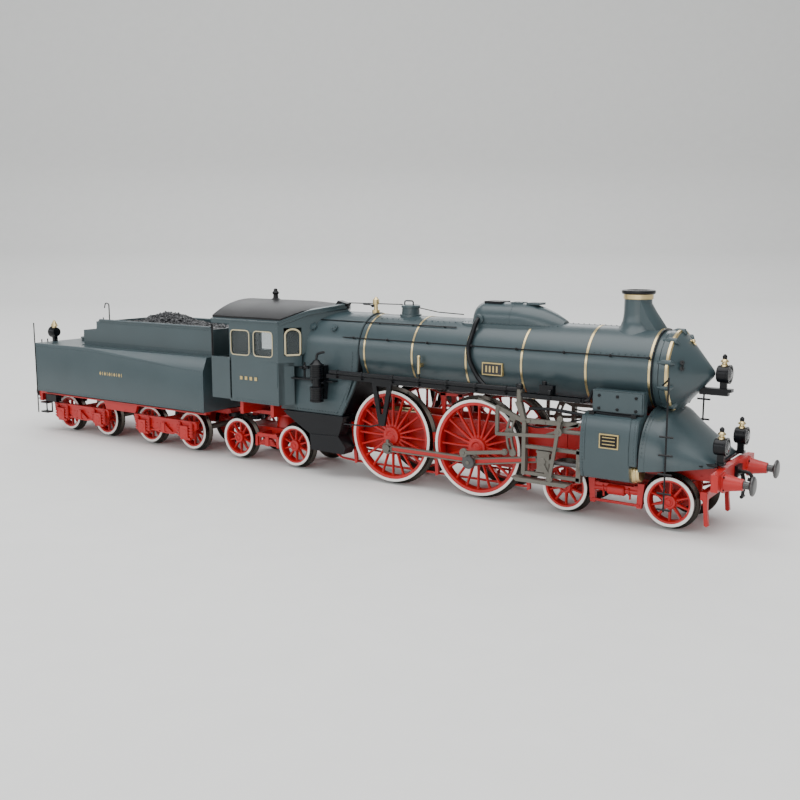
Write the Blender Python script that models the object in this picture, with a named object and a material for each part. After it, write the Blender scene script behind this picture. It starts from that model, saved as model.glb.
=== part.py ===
"""Streamlined 4-4-4 express locomotive and tender, a 1:87 railway model.

Sizes are millimetres: x runs forward from the rear driving axle, y to the left side,
z up from the rail head. One empty carries everything to the part's own origin, which is
on the ground below the middle of the whole train, and make_piece turns millimetres to metres.
"""
import math

import bmesh
import bpy
from mathutils import Matrix, Vector

# ---------------------------------------------------------------- driving dimensions
MM = 0.001                   # one millimetre in metres
GAP = 0.3                    # seam left between two pieces that meet
PLAY = 0.35                  # clearance round a pin, axle or shaft

# track and wheels
FLANGE = 0.8                 # flange depth below the rail head
WHEEL_BACK = 7.1             # back of a wheel from the centre line
WHEEL_FACE = 9.9             # outer face of a wheel from the centre line
DRIVER_R = 12.65             # tread radius of a driving wheel
CARRIER_R = 5.95             # tread radius of every carrying wheel
DRIVER_SPOKES = 20
CARRIER_SPOKES = 10
AXLE_R = 1.5                 # driving axle
CARRIER_AXLE_R = 1.1

# axle positions
REAR_DRIVER_X = 0.0
FRONT_DRIVER_X = 27.0
LEAD_BOGIE_X = 64.95
LEAD_BASE = 26.1             # wheelbase of the leading bogie
TRAIL_BOGIE_X = -45.6
TRAIL_BASE = 22.2
TENDER_BOGIE_FRONT_X = -86.45
TENDER_BOGIE_REAR_X = -127.75
TENDER_BASE = 19.4

# boiler
BOILER_Z = 35.2
BOILER_R = 9.9
BOILER_WALL = 1.0
BOILER_REAR_X = -13.6
BOILER_FRONT_X = 74.0
DOOR_TIP_X = 84.3
DOOR_R = 9.6
CHIMNEY_X = 65.2
CHIMNEY_R = 3.4
CHIMNEY_TOP_Z = 53.9
DOME_REAR_X = 18.3
DOME_FRONT_X = 47.1
DOME_TOP_Z = 49.8
DOME_W = 4.9                 # half width of the dome casing at its foot

# firebox, ashpan and cab
FIREBOX_REAR_X = -37.0
FIREBOX_HALF_W = 12.5
FIREBOX_FLOOR_Z = 17.2
FIREBOX_WALL = 1.0
CAB_REAR_X = -53.1
CAB_SHOULDER_X = -34.2       # where the side wall turns into the wedge front
CAB_NOSE_X = -21.5
CAB_HALF_W = 16.5
CAB_FLOOR_Z = 18.9
CAB_EAVES_Z = 42.9
CAB_WALL = 0.9
GATE_REAR_X = -60.5
ROOF_REAR_X = -60.4
ROOF_RIDGE_Z = 47.8
ROOF_NOSE_DROP = 0.9         # how much the roof falls from the shoulder to the nose
ROOF_T = 0.8
ROOF_OVERHANG = 0.4

# frame
FRAME_HALF_W = 5.5
FRAME_BOTTOM_Z = 7.6
FRAME_TOP_Z = 19.0           # between and below the driving wheels
FRONT_FRAME_TOP_Z = 23.6     # at the cylinders
FRONT_FRAME_BOTTOM_Z = 14.2
REAR_FRAME_Z = (13.3, 14.4)
STRETCHER_X = (11.6, 18.6)   # cross plate that carries the barrel between the drivers
BEAM_X = 89.6
BEAM_T = 1.6
BEAM_Z = (10.9, 15.4)
BEAM_HALF_W = 14.5

# cylinders and front apron
CYL_REAR_X = 58.5
CYL_FRONT_X = 72.4
CYL_Z = (9.8, 26.0)
CYL_HALF_W = 16.5
CYL_EDGE_W = 13.2            # half width at the top and bottom of the casing
CYL_NOTCH_X = 70.6           # the lower front corner is cut back for the bogie wheel
CYL_NOTCH_Z = 14.7
APRON_FRONT_X = 87.7

# rods and valve gear, right-hand side; distances from the centre line are positive
CRANK = 3.0                  # crank throw
PIN_R = 0.8
EYE_SIDES = 14
SIDE_ROD_Y = (10.6, 11.8)
MAIN_ROD_Y = (12.2, 13.3)
RETURN_CRANK_Y = (13.6, 14.3)
ECC_ROD_Y = (14.65, 15.3)
GUIDE_Y = (13.7, 15.0)
LINK_Y = (13.65, 14.3)
LEVER_Y = (15.45, 16.0)
RETURN_PIN = (-0.8, -0.45)   # return crank pin from the axle, for a crank that points down
CROSSHEAD_X = 48.4
CROSSHEAD_L = 3.2
PISTON_Z = 12.7
SMALL_END = (46.1, 12.9)
GUIDE_X = (42.6, 57.6)
GUIDE_LOW_Z = (8.9, 9.8)
GUIDE_HIGH_Z = (15.5, 16.4)
LINK_PIVOT = (38.6, 18.5)
LINK_SPAN = (13.9, 22.2)
LEVER_PIVOT = (52.6, 20.5)
LEVER_FOOT_Z = 8.9

# motor and gears
MOTOR_X = (-33.5, -16.5)
MOTOR_HALF = 3.1
SHAFT_Z = 17.8
SHAFT_R = 0.8
WORM_R = 1.4
WORM_X = (-6.0, 6.0)

# running boards
BOARD_Z = (28.0, 30.2)
BOARD_X = (-19.0, 58.0)
BOARD_Y = (12.9, 15.2)

# tender
TANK_FRONT_X = -64.4
TANK_REAR_X = -145.3
TANK_HALF_W = 16.5
TANK_Z = (13.7, 30.4)
TANK_WALL = 1.2
BUNKER_HALF_W = 11.0
BUNKER_FRONT_X = -65.2
BUNKER_STEP_X = -119.0
BUNKER_REAR_X = -126.0
BUNKER_TOP_Z = 39.3
BUNKER_LOW_Z = 35.5
BUNKER_WALL = 0.9
COAL_TOP_Z = 42.4
DRAWBAR_ENGINE_X = -58.2
DRAWBAR_TENDER_X = -66.6
PIVOT_R = 1.4                # bogie and drawbar pins

# buffers and couplings
BUFFER_Y = 10.06
BUFFER_Z = 12.4
BUFFER_HEAD_R = 2.25
BUFFER_STEM_R = 0.8
BUFFER_FRONT_X = 97.2
BUFFER_REAR_X = -152.5
TENDER_BEAM_X = -147.2

# colours
PAINT = (0.065, 0.095, 0.10)
ROOF_PAINT = (0.03, 0.032, 0.035)
BLACK = (0.012, 0.012, 0.013)
RED = (0.42, 0.025, 0.02)
STEEL = (0.40, 0.39, 0.36)
BRASS = (0.65, 0.45, 0.16)
COAL = (0.01, 0.01, 0.011)
GREEN_BOARD = (0.02, 0.16, 0.06)

TURN = 2.0 * math.pi
TRAIN_MIDDLE_X = 0.5 * (BUFFER_FRONT_X + BUFFER_REAR_X)


# ---------------------------------------------------------------- small mesh tools
def new_faces(points, faces):
    """A closed mesh from points and index lists, with its faces turned outward."""
    bm = bmesh.new()
    verts = [bm.verts.new(p) for p in points]
    for face in faces:
        bm.faces.new([verts[i] for i in face])
    bmesh.ops.recalc_face_normals(bm, faces=bm.faces)
    return bm


def loft(loops):
    """Skin equal loops of 3-D points one after the other and cap both ends."""
    n = len(loops[0])
    points = [p for loop in loops for p in loop]
    faces = [list(range(n))[::-1], [(len(loops) - 1) * n + i for i in range(n)]]
    for k in range(len(loops) - 1):
        for i in range(n):
            j = (i + 1) % n
            faces.append([k * n + i, k * n + j, (k + 1) * n + j, (k + 1) * n + i])
    return new_faces(points, faces)


def place(axis, a, u, v):
    """A point from its place along an axis and its two other coordinates in order."""
    return {"x": (a, u, v), "y": (u, a, v), "z": (u, v, a)}[axis]


def prism(axis, outline, a, b):
    """An outline, given in the two other coordinates, pulled from a to b along an axis."""
    return loft([[place(axis, t, u, v) for u, v in outline] for t in (a, b)])


def box(x, y, z):
    """A block between two limits on each axis."""
    return prism("z", [(x[0], y[0]), (x[1], y[0]), (x[1], y[1]), (x[0], y[1])], z[0], z[1])


def circle(centre, radius, n, start=0.0):
    """Points round a circle in a plane."""
    return [(centre[0] + radius * math.cos(start + TURN * i / n),
             centre[1] + radius * math.sin(start + TURN * i / n)) for i in range(n)]


def disc(axis, centre, radius, a, b, n=12):
    """A round bar along an axis; the centre is its two other coordinates."""
    return prism(axis, circle(centre, radius, n), a, b)


def turned(axis, centre, profile, n=16):
    """A solid of stations (place along the axis, radius), each radius above zero."""
    return loft([[place(axis, a, u, v) for u, v in circle(centre, r, n)] for a, r in profile])


def rod(p, q, radius, n=8):
    """A round bar between any two points."""
    p, q = Vector(p), Vector(q)
    along = (q - p).normalized()
    side = along.orthogonal().normalized()
    other = along.cross(side)
    ring = [side * (radius * c) + other * (radius * s) for c, s in circle((0, 0), 1.0, n)]
    return loft([[tuple(p + r) for r in ring], [tuple(q + r) for r in ring]])


def bar(p, q, half, thick):
    """A flat bar in the x-z plane between two points, with y from thick[0] to thick[1]."""
    dx, dz = q[0] - p[0], q[1] - p[1]
    size = math.hypot(dx, dz)
    ox, oz = -dz / size * half, dx / size * half
    outline = [(p[0] - ox, p[1] - oz), (q[0] - ox, q[1] - oz),
               (q[0] + ox, q[1] + oz), (p[0] + ox, p[1] + oz)]
    return prism("y", outline, thick[0], thick[1])


def as_object(bm, name):
    """A scene object that holds a mesh, which the Boolean steps need."""
    mesh = bpy.data.meshes.new(name)
    bm.to_mesh(mesh)
    bm.free()
    thing = bpy.data.objects.new(name, mesh)
    bpy.context.scene.collection.objects.link(thing)
    return thing


def combine(base, others, operation):
    """Join, cut or keep the common part of closed meshes with Boolean modifiers."""
    body = as_object(base, "work")
    tools = [as_object(bm, "tool") for bm in others]
    for tool in tools:
        step = body.modifiers.new("step", "BOOLEAN")
        step.operation = operation
        step.solver = "EXACT"
        step.object = tool
    graph = bpy.context.evaluated_depsgraph_get()
    result = bmesh.new()
    result.from_object(body, graph)
    for thing in tools + [body]:
        mesh = thing.data
        bpy.data.objects.remove(thing)
        bpy.data.meshes.remove(mesh)
    bmesh.ops.remove_doubles(result, verts=result.verts, dist=0.002)
    bmesh.ops.dissolve_degenerate(result, edges=result.edges, dist=0.002)
    return result


def union(*parts):
    return combine(parts[0], parts[1:], "UNION")


def cut(base, *tools):
    return combine(base, tools, "DIFFERENCE")


def common(base, *tools):
    return combine(base, tools, "INTERSECT")


def mirrored(bm):
    """The same mesh on the other side of the centre line."""
    bmesh.ops.scale(bm, vec=(1, -1, 1), verts=bm.verts)
    bmesh.ops.reverse_faces(bm, faces=bm.faces)
    return bm


def on_side(bm, side):
    """Side +1 is the left, -1 the right; pieces are drawn on the left."""
    return bm if side > 0 else mirrored(bm)


def material(name, colour, roughness, metallic):
    """A Principled BSDF material."""
    mat = bpy.data.materials.new(name)
    mat.use_nodes = True
    shader = mat.node_tree.nodes["Principled BSDF"]
    shader.inputs["Base Color"].default_value = (*colour, 1.0)
    shader.inputs["Roughness"].default_value = roughness
    shader.inputs["Metallic"].default_value = metallic
    return mat


def make_piece(name, bm, finish, pivot=(0.0, 0.0, 0.0)):
    """A named piece whose own origin is the pivot, hung on the train's empty."""
    colour, roughness, metallic = finish
    bmesh.ops.triangulate(bm, faces=bm.faces)
    bmesh.ops.translate(bm, vec=-Vector(pivot), verts=bm.verts)
    bmesh.ops.scale(bm, vec=(MM, MM, MM), verts=bm.verts)
    mesh = bpy.data.meshes.new(name)
    bm.to_mesh(mesh)
    bm.free()
    mesh.shade_smooth()
    mesh.set_sharp_from_angle(angle=math.radians(35))
    mesh.materials.append(material(name, colour, roughness, metallic))
    thing = bpy.data.objects.new(name, mesh)
    bpy.context.scene.collection.objects.link(thing)
    thing.parent = TRAIN
    thing.location = Vector(pivot) * MM
    return thing


PAINTED = (PAINT, 0.45, 0.1)
ROOFING = (ROOF_PAINT, 0.55, 0.1)
BLACKED = (BLACK, 0.4, 0.2)
REDDED = (RED, 0.45, 0.0)
METAL = (STEEL, 0.35, 0.8)
BRIGHT = (BRASS, 0.3, 1.0)
COALED = (COAL, 0.6, 0.1)
BOARDED = (GREEN_BOARD, 0.5, 0.0)


# ---------------------------------------------------------------- wheels
def spoked_wheel(x, radius, spokes, hub_r, rim, spoke_half):
    """The left wheel of an axle: hub, spokes, rim and flanged tyre in one closed skin."""
    n = 2 * spokes
    centre = (x, radius)
    half_step = math.pi / n
    first = -math.pi / 2 - half_step

    def ring(r, y, narrow):
        points = []
        for k in range(spokes):
            middle = first + TURN * k / spokes
            lean = math.asin(spoke_half / r) if narrow else half_step
            for a in (middle - lean, middle + lean):
                points.append((centre[0] + r * math.cos(a), y, centre[1] + r * math.sin(a)))
        return points

    flange_r = radius + FLANGE
    rings = [ring(hub_r, WHEEL_FACE, True), ring(radius - rim, WHEEL_FACE, True),
             ring(radius, WHEEL_FACE, False), ring(radius, WHEEL_BACK + 1.0, False),
             ring(flange_r, WHEEL_BACK + 0.6, False), ring(flange_r, WHEEL_BACK, False),
             ring(radius - rim, WHEEL_BACK, True), ring(hub_r, WHEEL_BACK, True)]
    points = [p for r in rings for p in r]
    faces = [list(range(n)), [7 * n + i for i in range(n)]]
    for i in range(n):
        j = (i + 1) % n
        for k in range(1, 6):
            faces.append([k * n + i, k * n + j, (k + 1) * n + j, (k + 1) * n + i])
        if i % 2 == 0:       # a spoke lies between the two points
            faces.append([i, j, n + j, n + i])
            faces.append([7 * n + i, 7 * n + j, 6 * n + j, 6 * n + i])
            for p in (i, j):
                faces.append([p, n + p, 6 * n + p, 7 * n + p])
        else:                # a window lies between them
            faces.append([i, j, 7 * n + j, 7 * n + i])
            faces.append([n + i, n + j, 6 * n + j, 6 * n + i])
    return new_faces(points, faces)


def driving_wheel(x):
    return spoked_wheel(x, DRIVER_R, DRIVER_SPOKES, 2.7, 1.5, 0.38)


def carrying_wheel(x):
    return spoked_wheel(x, CARRIER_R, CARRIER_SPOKES, 1.7, 1.1, 0.38)


def plain_wheel(x):
    """A solid tender wheel, left side."""
    profile = [(WHEEL_BACK, CARRIER_R + FLANGE), (WHEEL_BACK + 0.6, CARRIER_R + FLANGE),
               (WHEEL_BACK + 1.0, CARRIER_R), (WHEEL_FACE, CARRIER_R)]
    return turned("y", (x, CARRIER_R), profile, 20)


def crank_pin(x, side):
    """Where the crank pin of an axle stands; the left side leads the right by a quarter."""
    if side > 0:
        return (x + CRANK, DRIVER_R)
    return (x, DRIVER_R - CRANK)


def return_pin(side):
    """Where the return crank's own pin stands."""
    a, b = RETURN_PIN
    if side > 0:
        a, b = -b, a
    return (FRONT_DRIVER_X + a, DRIVER_R + b)


def driving_wheelset(name, x, front):
    parts = []
    for side in (1, -1):
        pin = crank_pin(x, side)
        parts.append(on_side(driving_wheel(x), side))
        parts.append(on_side(disc("y", pin, 1.7, WHEEL_FACE - 0.6, SIDE_ROD_Y[0] - GAP), side))
        reach = RETURN_CRANK_Y[1] if front else SIDE_ROD_Y[1] + GAP
        parts.append(on_side(disc("y", pin, PIN_R, WHEEL_FACE - 0.4, reach - 0.05, 12), side))
        if front:
            far = return_pin(side)
            parts.append(on_side(bar(pin, far, 0.75, RETURN_CRANK_Y), side))
            parts.append(on_side(disc("y", pin, 1.15, *RETURN_CRANK_Y, 12), side))
            pin_y = (RETURN_CRANK_Y[0] + 0.1, ECC_ROD_Y[1] + 0.25)
            parts.append(on_side(disc("y", far, 0.6, *pin_y, 10), side))
    parts.append(disc("y", (x, DRIVER_R), AXLE_R, -WHEEL_BACK - 0.5, WHEEL_BACK + 0.5))
    if not front:
        gear_r = SHAFT_Z - DRIVER_R - WORM_R - PLAY
        parts.append(disc("y", (x, DRIVER_R), gear_r, -1.5, 1.5, 24))
    make_piece(name, union(*parts), REDDED, (x, 0, DRIVER_R))


def carrying_wheelset(name, x, wheel, stub):
    """Two wheels on an axle; stub is how far the axle ends stand past the wheel faces."""
    end = WHEEL_FACE + stub if stub else WHEEL_BACK + 0.5
    axle = disc("y", (x, CARRIER_R), CARRIER_AXLE_R, -end, end, 12)
    body = union(wheel(x), mirrored(wheel(x)), axle)
    make_piece(name, body, REDDED, (x, 0, CARRIER_R))


# ---------------------------------------------------------------- frame and inner works
def make_main_frame():
    step_x = BOILER_REAR_X + 0.4
    low, high = REAR_FRAME_Z
    rear = DRAWBAR_ENGINE_X - 2.0
    outline = [(rear, low), (step_x, low), (step_x, FRAME_BOTTOM_Z), (41.0, FRAME_BOTTOM_Z),
               (46.0, FRONT_FRAME_BOTTOM_Z), (84.5, FRONT_FRAME_BOTTOM_Z), (86.0, BEAM_Z[0]),
               (BEAM_X - BEAM_T / 2 - GAP, BEAM_Z[0]), (BEAM_X - BEAM_T / 2 - GAP, 13.8),
               (76.0, 20.5), (74.0, FRONT_FRAME_TOP_Z), (57.0, FRONT_FRAME_TOP_Z),
               (50.0, FRAME_TOP_Z), (step_x, FRAME_TOP_Z), (step_x, high), (rear, high)]
    plates = prism("y", outline, -FRAME_HALF_W, FRAME_HALF_W)
    saddle = box((CYL_REAR_X + 1.5, CYL_FRONT_X - 1.5), (-3.0, 3.0),
                 (FRONT_FRAME_TOP_Z - 0.5, BOILER_Z - BOILER_R - GAP))
    x0, x1 = STRETCHER_X
    stretcher = prism("y", [(x0 + 2.0, FRAME_TOP_Z - 1), (x1 - 1.5, FRAME_TOP_Z - 1),
                            (x1, BOILER_Z - BOILER_R - GAP), (x0, BOILER_Z - BOILER_R - GAP)],
                      -3.0, 3.0)
    pins = [disc("z", (LEAD_BOGIE_X, 0), PIVOT_R, 10.4, FRONT_FRAME_BOTTOM_Z + 0.5, 12),
            disc("z", (TRAIL_BOGIE_X, 0), PIVOT_R, 10.4, low + 0.5, 12),
            disc("z", (DRAWBAR_ENGINE_X, 0), PIVOT_R, 10.0, low + 0.5, 12)]
    slot = box((step_x - 1.0, 8.0), (-2.7, 2.7), (FRAME_BOTTOM_Z - 1.0, FRAME_TOP_Z + 1.0))
    holes = [disc("y", (x, DRIVER_R), AXLE_R + PLAY, -9, 9) for x in (REAR_DRIVER_X,
                                                                      FRONT_DRIVER_X)]
    make_piece("main_frame", cut(union(plates, saddle, stretcher, *pins), slot, *holes), REDDED)


def make_motor():
    can = box(MOTOR_X, (-MOTOR_HALF, MOTOR_HALF), (SHAFT_Z - MOTOR_HALF, SHAFT_Z + MOTOR_HALF))
    boss = disc("x", (0, SHAFT_Z), 2.4, MOTOR_X[1] - 0.5, MOTOR_X[1] + 0.8)
    bore = disc("x", (0, SHAFT_Z), SHAFT_R + PLAY, MOTOR_X[1] - 4.0, MOTOR_X[1] + 2.0, 12)
    make_piece("motor", cut(union(can, boss), bore), METAL)


def make_worm_shaft():
    shaft = disc("x", (0, SHAFT_Z), SHAFT_R, MOTOR_X[1] - 3.6, WORM_X[1] + 0.8, 12)
    worm = disc("x", (0, SHAFT_Z), WORM_R, *WORM_X, 12)
    make_piece("worm_shaft", union(shaft, worm), BRIGHT, (0, 0, SHAFT_Z))


# ---------------------------------------------------------------- boiler
def boiler_clearance(x0, x1):
    """The space that the barrel and its seam take out of a piece that sits on it."""
    return disc("x", (0, BOILER_Z), BOILER_R + GAP, x0, x1, 40)


def make_boiler():
    barrel = disc("x", (0, BOILER_Z), BOILER_R, BOILER_REAR_X, BOILER_FRONT_X, 40)
    top = BOILER_Z + BOILER_R
    seat = box((-3.0, 3.0), (-1.6, 1.6), (top - 0.8, top + 3.0))
    inner_r = BOILER_R - BOILER_WALL
    inner = disc("x", (0, BOILER_Z), inner_r, BOILER_REAR_X - 1, BOILER_FRONT_X + 1, 32)
    make_piece("boiler", cut(union(barrel, seat), inner), PAINTED)


def make_smokebox_door():
    back = BOILER_FRONT_X + GAP
    profile = [(back, DOOR_R), (back + 2.7, DOOR_R), (DOOR_TIP_X, 0.5)]
    make_piece("smokebox_door", turned("x", (0, BOILER_Z), profile, 32), PAINTED)


def make_chimney():
    rim = CHIMNEY_R + 0.45
    profile = [(BOILER_Z + 6, CHIMNEY_R + 1.5), (BOILER_Z + 9, CHIMNEY_R + 1.3),
               (BOILER_Z + 11.2, CHIMNEY_R + 0.1), (CHIMNEY_TOP_Z - 1.2, CHIMNEY_R),
               (CHIMNEY_TOP_Z - 0.9, rim), (CHIMNEY_TOP_Z, rim)]
    stack = turned("z", (CHIMNEY_X, 0), profile, 24)
    fairing = prism("y", [(CHIMNEY_X, 42.0), (CHIMNEY_X + 8.3, 42.0), (CHIMNEY_X + 8.3, 46.2),
                          (CHIMNEY_X + 3.1, 52.0), (CHIMNEY_X, 52.0)], -1.5, 1.5)
    bore = disc("z", (CHIMNEY_X, 0), CHIMNEY_R - 0.8, CHIMNEY_TOP_Z - 5, CHIMNEY_TOP_Z + 1)
    x0, x1 = CHIMNEY_X - 9, CHIMNEY_X + 9
    make_piece("chimney", cut(union(stack, fairing), bore, boiler_clearance(x0, x1)), PAINTED)


def dome_section(x, half, top):
    """Arched cross section of the long casing on the boiler."""
    foot = BOILER_Z + 5
    arch = [(half * math.cos(a), top - 2.6 + 2.6 * math.sin(a))
            for a in [math.pi * k / 10 for k in range(11)]]
    return [(x, y, z) for y, z in [(half, foot)] + arch + [(-half, foot)]]


def make_dome_casing():
    length = DOME_FRONT_X - DOME_REAR_X
    stations = [(0.0, 0.45, -2.6), (0.04, 0.8, -0.7), (0.12, 1.0, 0.0), (0.55, 1.0, 0.0),
                (0.8, 0.9, -1.6), (1.0, 0.6, -4.0)]
    body = loft([dome_section(DOME_REAR_X + f * length, w * DOME_W, DOME_TOP_Z + dz)
                 for f, w, dz in stations])
    x0, x1 = DOME_REAR_X - 5, DOME_FRONT_X + 5
    make_piece("dome_casing", cut(body, boiler_clearance(x0, x1)), PAINTED)


def make_whistle():
    base = BOILER_Z + BOILER_R + GAP
    x = BOILER_REAR_X + 1.8
    profile = [(base, 1.1), (base + 0.8, 1.1), (base + 0.9, 0.6), (base + 2.6, 0.6),
               (base + 2.8, 0.95), (base + 4.1, 0.8)]
    make_piece("whistle", turned("z", (x, 0), profile, 12), BRIGHT)


# ---------------------------------------------------------------- firebox and ashpan
def firebox_outline(grow, floor):
    """Cross section (y, z) of the firebox casing, grown all round by a seam or a wall."""
    half = FIREBOX_HALF_W + grow
    crown = BOILER_R + 0.3 + grow
    right_side = [(half, floor), (half, BOILER_Z - 3.0), (half - 0.5, BOILER_Z + 0.6)]
    arc = [(crown * math.cos(a), BOILER_Z + crown * math.sin(a))
           for a in [math.radians(18 + 18 * k) for k in range(9)]]
    left_side = [(-y, z) for y, z in right_side[::-1]]
    return right_side + arc + left_side


def make_firebox_casing():
    front = BOILER_REAR_X - GAP
    shell = prism("x", firebox_outline(0.0, FIREBOX_FLOOR_Z), FIREBOX_REAR_X, front)
    inner = prism("x", firebox_outline(-FIREBOX_WALL, FIREBOX_FLOOR_Z - 2),
                  FIREBOX_REAR_X + FIREBOX_WALL, front - FIREBOX_WALL)
    shaft = disc("x", (0, SHAFT_Z), SHAFT_R + 2 * PLAY, front - 3, front + 3, 12)
    make_piece("firebox_casing", cut(shell, inner, shaft), PAINTED)


def make_ashpan():
    top = FIREBOX_FLOOR_Z - GAP
    rear, front = -29.7, BOILER_REAR_X - 0.3
    outline = [(rear, top), (front, top), (-9.6, 7.8), (-13.3, 5.7), (-24.7, 6.8)]
    pan = prism("y", outline, -FIREBOX_HALF_W - 1.5, FIREBOX_HALF_W + 1.5)
    wheel_side = WHEEL_FACE + 0.6
    wheel_room = box((BOILER_REAR_X - 0.9, 0), (-wheel_side, wheel_side), (0, 30))
    works = FRAME_HALF_W + GAP
    frame_room = box((-40, 0), (-works, works), (REAR_FRAME_Z[0] - GAP, 30))
    make_piece("ashpan", cut(pan, wheel_room, frame_room), BLACKED)


# ---------------------------------------------------------------- cab
def roof_section(x, lower, drop):
    """Arc of the roof (y, z) at one place, moved down by lower and drop."""
    half = CAB_HALF_W + ROOF_OVERHANG
    rise = ROOF_RIDGE_Z - CAB_EAVES_Z
    radius = (half * half + rise * rise) / (2 * rise)
    points = []
    for k in range(9):
        y = half * (1 - k / 4.0)
        z = ROOF_RIDGE_Z - radius + math.sqrt(radius * radius - y * y)
        points.append((x, y, z - lower - drop))
    return points


def roof_body(top, bottom, x_rear):
    """The roof's arc between two depths below its outer face, falling to the nose."""
    loops = []
    for x, drop in ((x_rear, 0.0), (CAB_SHOULDER_X - 2, 0.0), (CAB_NOSE_X + 2, ROOF_NOSE_DROP)):
        loops.append(roof_section(x, top, drop) + roof_section(x, bottom, drop)[::-1])
    return loft(loops)


def cab_plan(grow, rear, half_grow):
    """Plan (x, y) of the cab with its wedge front."""
    half = CAB_HALF_W + half_grow
    return [(rear, -half), (CAB_SHOULDER_X + grow, -half), (CAB_NOSE_X + grow, 0),
            (CAB_SHOULDER_X + grow, half), (rear, half)]


def make_cab_roof():
    sheet = roof_body(0.0, ROOF_T, ROOF_REAR_X)
    plan = prism("z", cab_plan(ROOF_OVERHANG, ROOF_REAR_X - 1, 1.0), 30, 60)
    vent = disc("z", (-49.2, 0), 1.5, ROOF_RIDGE_Z - 0.5, ROOF_RIDGE_Z + 3.4, 12)
    cap = disc("z", (-49.2, 0), 2.0, ROOF_RIDGE_Z + 2.2, ROOF_RIDGE_Z + 3.0, 12)
    make_piece("cab_roof", union(common(sheet, plan), vent, cap), ROOFING)


def make_cab_shell():
    outer = prism("z", cab_plan(0, CAB_REAR_X, 0), CAB_FLOOR_Z, 55)
    inner = prism("z", cab_plan(-CAB_WALL * 1.3, CAB_REAR_X - 20, -CAB_WALL),
                  CAB_FLOOR_Z + CAB_WALL, 60)
    above = roof_body(ROOF_T + GAP, -20.0, ROOF_REAR_X - 5)
    firebox = prism("x", firebox_outline(GAP, 0), FIREBOX_REAR_X - GAP, 0)
    windows = [box((x, x + 7.0), (CAB_HALF_W - 3, CAB_HALF_W + 3), (32.6, 39.6))
               for x in (-52.3, -43.4)]
    front = []
    for side in (1, -1):
        hole = box((-2.4, 2.4), (-3, 3), (33.0, 41.0))
        lean = math.atan2(CAB_HALF_W, CAB_NOSE_X - CAB_SHOULDER_X)
        bmesh.ops.rotate(hole, matrix=Matrix.Rotation(-lean, 3, "Z"), verts=hole.verts)
        bmesh.ops.translate(hole, vec=(-31.6, CAB_HALF_W - 3.4, 0), verts=hole.verts)
        front.append(on_side(hole, side))
    panes = []
    for x in (-52.3, -43.4):
        panes.append(mirrored(box((x, x + 7.0), (CAB_HALF_W - 3, CAB_HALF_W + 3), (32.6, 39.6))))
    shell = cut(outer, inner, above, firebox, *windows, *panes, *front)
    gates = [on_side(box((GATE_REAR_X, CAB_REAR_X + 0.5), (CAB_HALF_W - CAB_WALL, CAB_HALF_W),
                         (CAB_FLOOR_Z, 31.5)), side) for side in (1, -1)]
    make_piece("cab_shell", union(shell, *gates), PAINTED)


# ---------------------------------------------------------------- cylinders, apron and front
def make_cylinder(name, side):
    low, high = CYL_Z
    inside = FRAME_HALF_W + GAP
    outline = [(inside, low + 2.2), (CYL_EDGE_W, low), (CYL_HALF_W - 0.9, low + 3.6),
               (CYL_HALF_W, low + 8.2), (CYL_HALF_W - 0.7, high - 3.6), (CYL_EDGE_W, high),
               (inside, high - 1.0)]
    casing = prism("x", outline, CYL_REAR_X, CYL_FRONT_X)
    chest = box((CYL_REAR_X + 1.3, CYL_FRONT_X), (BOILER_R + 0.5, CYL_EDGE_W - 0.2),
                (high - 1.0, 31.3))
    rod_y = 0.5 * (GUIDE_Y[0] + GUIDE_Y[1])
    cover = disc("x", (rod_y - 2.0, PISTON_Z + 1.3), 2.9, CYL_REAR_X - 0.9, CYL_REAR_X + 0.5, 20)
    notch = box((CYL_NOTCH_X, CYL_FRONT_X + 1), (0, 20), (0, CYL_NOTCH_Z))
    bore = disc("x", (rod_y, PISTON_Z), 0.6 + PLAY, CYL_REAR_X - 3, CYL_REAR_X + 10.5, 12)
    make_piece(name, on_side(cut(union(casing, chest, cover), notch, bore), side), PAINTED)


def apron_loop(x, half, low, high, shrink):
    """Arched section of the apron at one place."""
    half, high = half - shrink, high - shrink
    arch = []
    for k in range(11):
        a = math.pi * k / 10
        arch.append((x, half * math.cos(a), low + (high - low) * math.sin(a)))
    return arch


def make_front_apron():
    back = CYL_FRONT_X + GAP
    stations = [(back, 16.2, 13.6, 27.4), (76.8, 14.8, 13.9, 26.6), (80.3, 13.2, 14.2, 23.8),
                (84.0, 11.2, 14.6, 20.8), (APRON_FRONT_X, 9.0, 15.0, 17.6)]
    outer = loft([apron_loop(*s, 0.0) for s in stations])
    hollow = [(back - 1, 16.3, 12.6, 27.8)] + [(x, w, low - 1.0, z) for x, w, low, z in stations]
    hollow[-1] = (APRON_FRONT_X + 1, 8.5, 14.0, 16.9)
    inner = loft([apron_loop(*s, 0.9) for s in hollow])
    barrel = boiler_clearance(back - 5, BOILER_FRONT_X + 8)
    shell = cut(outer, inner, barrel)
    make_piece("front_apron", shell, PAINTED)


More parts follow.
